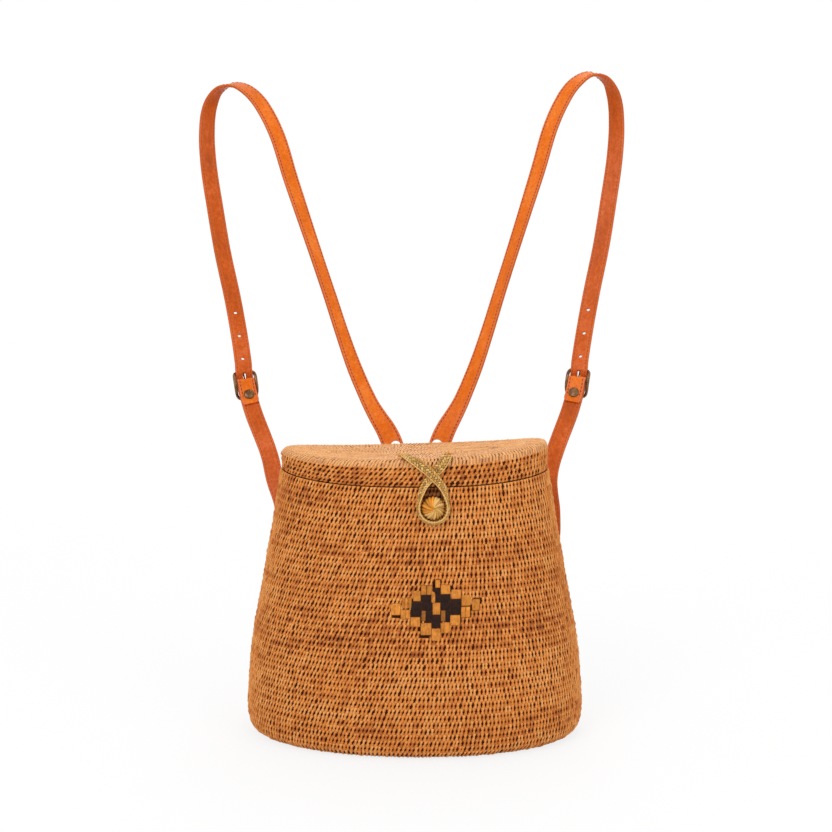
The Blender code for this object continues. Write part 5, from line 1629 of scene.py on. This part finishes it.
def frame_out(along):
    """How far the bowed frame stands out from the strap's line, at a distance up from its bar."""
    share = along / (BUCKLE_LENGTH / 2 - BAR_RADIUS)
    return ((BUCKLE_TOP_OUT + BUCKLE_FOOT_OUT) / 2 * share ** 2
            + (BUCKLE_TOP_OUT - BUCKLE_FOOT_OUT) / 2 * share)


def buckle_mesh(name, route):
    """The bowed frame as a flat bar with full sides, and the round bar across its middle."""
    half_length = BUCKLE_LENGTH / 2 - BAR_RADIUS
    half_width = STRAP_WIDTH / 2 + HOOP_GAP + HOOP_SIDE
    spots = []
    for step in range(HOOP_STEPS):
        angle = 2 * math.pi * (step + 0.5) / HOOP_STEPS
        c, s = math.cos(angle), math.sin(angle)
        w = half_width * math.copysign(abs(c) ** (2 / BUCKLE_POWER), c)
        u = half_length * math.copysign(abs(s) ** (2 / BUCKLE_POWER), s)
        spots.append(Vector((w, u, frame_out(u))))
    shape = bmesh.new()
    rings = []
    for step, spot in enumerate(spots):
        ahead = (spots[(step + 1) % HOOP_STEPS] - spots[step - 1]).normalized()
        side = ahead.cross(UP).normalized()
        lift = side.cross(ahead)
        wide = BAR_RADIUS + (HOOP_SIDE - BAR_RADIUS) * abs(ahead.y) ** 3
        ring = []
        for w, n in HOOP_SECTION:
            point = spot + side * (w * wide) + lift * (n * HOOP_DEPTH)
            ring.append(shape.verts.new(route.local(point.y, point.z, point.x)))
        rings.append(ring)
    count = len(HOOP_SECTION)
    for lower, upper in zip(rings, rings[1:] + rings[:1]):
        for k in range(count):
            shape.faces.new((lower[k], lower[(k + 1) % count], upper[(k + 1) % count], upper[k]))
    bar = bmesh.ops.create_cone(shape, cap_ends=True, segments=20, radius1=BAR_RADIUS,
                                radius2=BAR_RADIUS, depth=2 * half_width)["verts"]
    bmesh.ops.transform(shape, matrix=axes(route.origin, route.up, route.across), verts=bar)
    bmesh.ops.recalc_face_normals(shape, faces=shape.faces)
    mesh = bpy.data.meshes.new(name)
    shape.to_mesh(mesh)
    shape.free()
    mesh.shade_smooth()
    mesh.set_sharp_from_angle(angle=math.radians(40))
    return mesh


class WEAVE_OT_metal(BasketPiece, bpy.types.Operator):
    """Bend the buckles' frames, and give the metal its bronze"""
    bl_idname = "pack_basket.finish_metal"
    bl_label = "Finish the Metal"

    def execute(self, context):
        bronze = bronze_finish(self.settings(context)[1])
        for side in SIDES:
            name = "bent_frame_" + side
            new_piece(name, buckle_mesh(name, StrapRoute(side)), "strap_" + side, bronze,
                      "buckle_frame_" + side)
            for part in ("buckle_tongue", "flap_rivet", "root_rivet", "root_washer",
                         "foot_rivet", "foot_washer"):
                dress(part + "_" + side, bronze)
        return {"FINISHED"}


class WEAVE_OT_stage(BasketPiece, bpy.types.Operator):
    """Set the floor, the soft lights and the camera"""
    bl_idname = "pack_basket.set_stage"
    bl_label = "Set the Stage"

    def execute(self, context):
        scene = context.scene
        shape = bmesh.new()
        bmesh.ops.create_grid(shape, x_segments=1, y_segments=1, size=6)
        bmesh.ops.translate(shape, verts=shape.verts, vec=(0, 0, -0.0016))
        mesh = bpy.data.meshes.new("floor")
        shape.to_mesh(mesh)
        shape.free()
        finish = Finish("pale_floor", 0.9, 0.0, 0.1)
        finish.colour((0.86, 0.86, 0.86))
        seen = finish.node("ShaderNodeLightPath")
        glow = finish.node("ShaderNodeEmission")
        mixer = finish.node("ShaderNodeMixShader")
        far = finish.math("ADD", seen.outputs["Is Camera Ray"], seen.outputs["Is Glossy Ray"], True)
        far = finish.math("ADD", far, seen.outputs["Is Transmission Ray"], True)
        spread = finish.node("ShaderNodeVectorMath", operation="LENGTH")
        finish.join(finish.place(), spread.inputs[0])
        fade = finish.level(spread.outputs["Value"], 0.15, 1.2, 0.80, 1.0)
        finish.join(finish.math("MULTIPLY", far, fade), mixer.inputs[0])
        finish.join(finish.shader.outputs[0], mixer.inputs[1])
        finish.join(glow.outputs[0], mixer.inputs[2])
        finish.join(mixer.outputs[0], finish.tree.nodes["Material Output"].inputs["Surface"])
        floor = new_piece("floor", mesh, None, finish.material)

        world = bpy.data.worlds.new("soft_room")
        scene.world = world
        world.use_nodes = True
        tree = world.node_tree
        ground = tree.nodes["Background"]
        ground.inputs["Color"].default_value = (1, 1, 1, 1)
        ground.inputs["Strength"].default_value = 0.72
        white = tree.nodes.new("ShaderNodeBackground")
        seen = tree.nodes.new("ShaderNodeLightPath")
        far = seen.outputs["Is Camera Ray"]
        for ray in ("Is Glossy Ray", "Is Transmission Ray"):
            either = tree.nodes.new("ShaderNodeMath")
            either.operation = "ADD"
            either.use_clamp = True
            tree.links.new(far, either.inputs[0])
            tree.links.new(seen.outputs[ray], either.inputs[1])
            far = either.outputs[0]
        mixer = tree.nodes.new("ShaderNodeMixShader")
        tree.links.new(far, mixer.inputs[0])
        tree.links.new(ground.outputs[0], mixer.inputs[1])
        tree.links.new(white.outputs[0], mixer.inputs[2])
        white.inputs["Color"].default_value = (1, 1, 1, 1)
        tree.links.new(mixer.outputs[0], tree.nodes["World Output"].inputs["Surface"])

        aim = Vector((0, 0, 0.2))
        for name, place, size, power in (
                ("key", (-0.9, -1.5, 1.3), 1.0, 15), ("fill", (1.3, -1.2, 0.8), 1.0, 7),
                ("top", (0.1, 0.5, 1.8), 1.2, 7), ("back", (0.2, 1.6, 0.7), 1.0, 4)):
            lamp = bpy.data.lights.new(name, "AREA")
            lamp.shape = "SQUARE"
            lamp.size = size
            lamp.energy = power
            light = bpy.data.objects.new(name, lamp)
            light.location = place
            light.rotation_euler = (aim - Vector(place)).to_track_quat("-Z", "Y").to_euler()
            scene.collection.objects.link(light)

        lens = bpy.data.cameras.new("camera")
        lens.sensor_width = 36
        lens.lens = 52.87
        camera = bpy.data.objects.new("camera", lens)
        camera.location = (0.0261, -0.9496, 0.334)
        camera.rotation_euler = (math.radians(90 - 5.3), 0, math.radians(1.5))
        scene.collection.objects.link(camera)
        scene.camera = camera
        scene.view_settings.view_transform = "Standard"
        return {"FINISHED"}


class WEAVE_PT_panel(bpy.types.Panel):
    """Lists the basket's pieces, sizes and colours"""
    bl_idname = "WEAVE_PT_panel"
    bl_label = "Pack Basket"
    bl_space_type = "VIEW_3D"
    bl_region_type = "UI"
    bl_category = "Pack Basket"

    def draw(self, context):
        for step in STEPS:
            self.layout.operator(step.bl_idname)
        for group in (context.scene.pack_basket_sizes, context.scene.pack_basket_colours):
            column = self.layout.column()
            for name in group.__annotations__:
                column.prop(group, name)


STEPS = (
    WEAVE_OT_body, WEAVE_OT_ornament, WEAVE_OT_lid, WEAVE_OT_closure, WEAVE_OT_knob,
    WEAVE_OT_straps, WEAVE_OT_metal, WEAVE_OT_stage,
)
CLASSES = (BasketSizes, BasketColours) + STEPS + (WEAVE_PT_panel,)


def register():
    for item in CLASSES:
        bpy.utils.register_class(item)
    bpy.types.Scene.pack_basket_sizes = PointerProperty(type=BasketSizes)
    bpy.types.Scene.pack_basket_colours = PointerProperty(type=BasketColours)


def unregister():
    del bpy.types.Scene.pack_basket_colours
    del bpy.types.Scene.pack_basket_sizes
    for item in reversed(CLASSES):
        bpy.utils.unregister_class(item)


def main():
    register()
    bpy.ops.pack_basket.weave_body()
    bpy.ops.pack_basket.lay_ornament()
    bpy.ops.pack_basket.weave_lid()
    bpy.ops.pack_basket.plait_closure()
    bpy.ops.pack_basket.wind_knob()
    bpy.ops.pack_basket.cut_straps()
    bpy.ops.pack_basket.finish_metal()
    bpy.ops.pack_basket.set_stage()


if __name__ == "__main__":
    main()
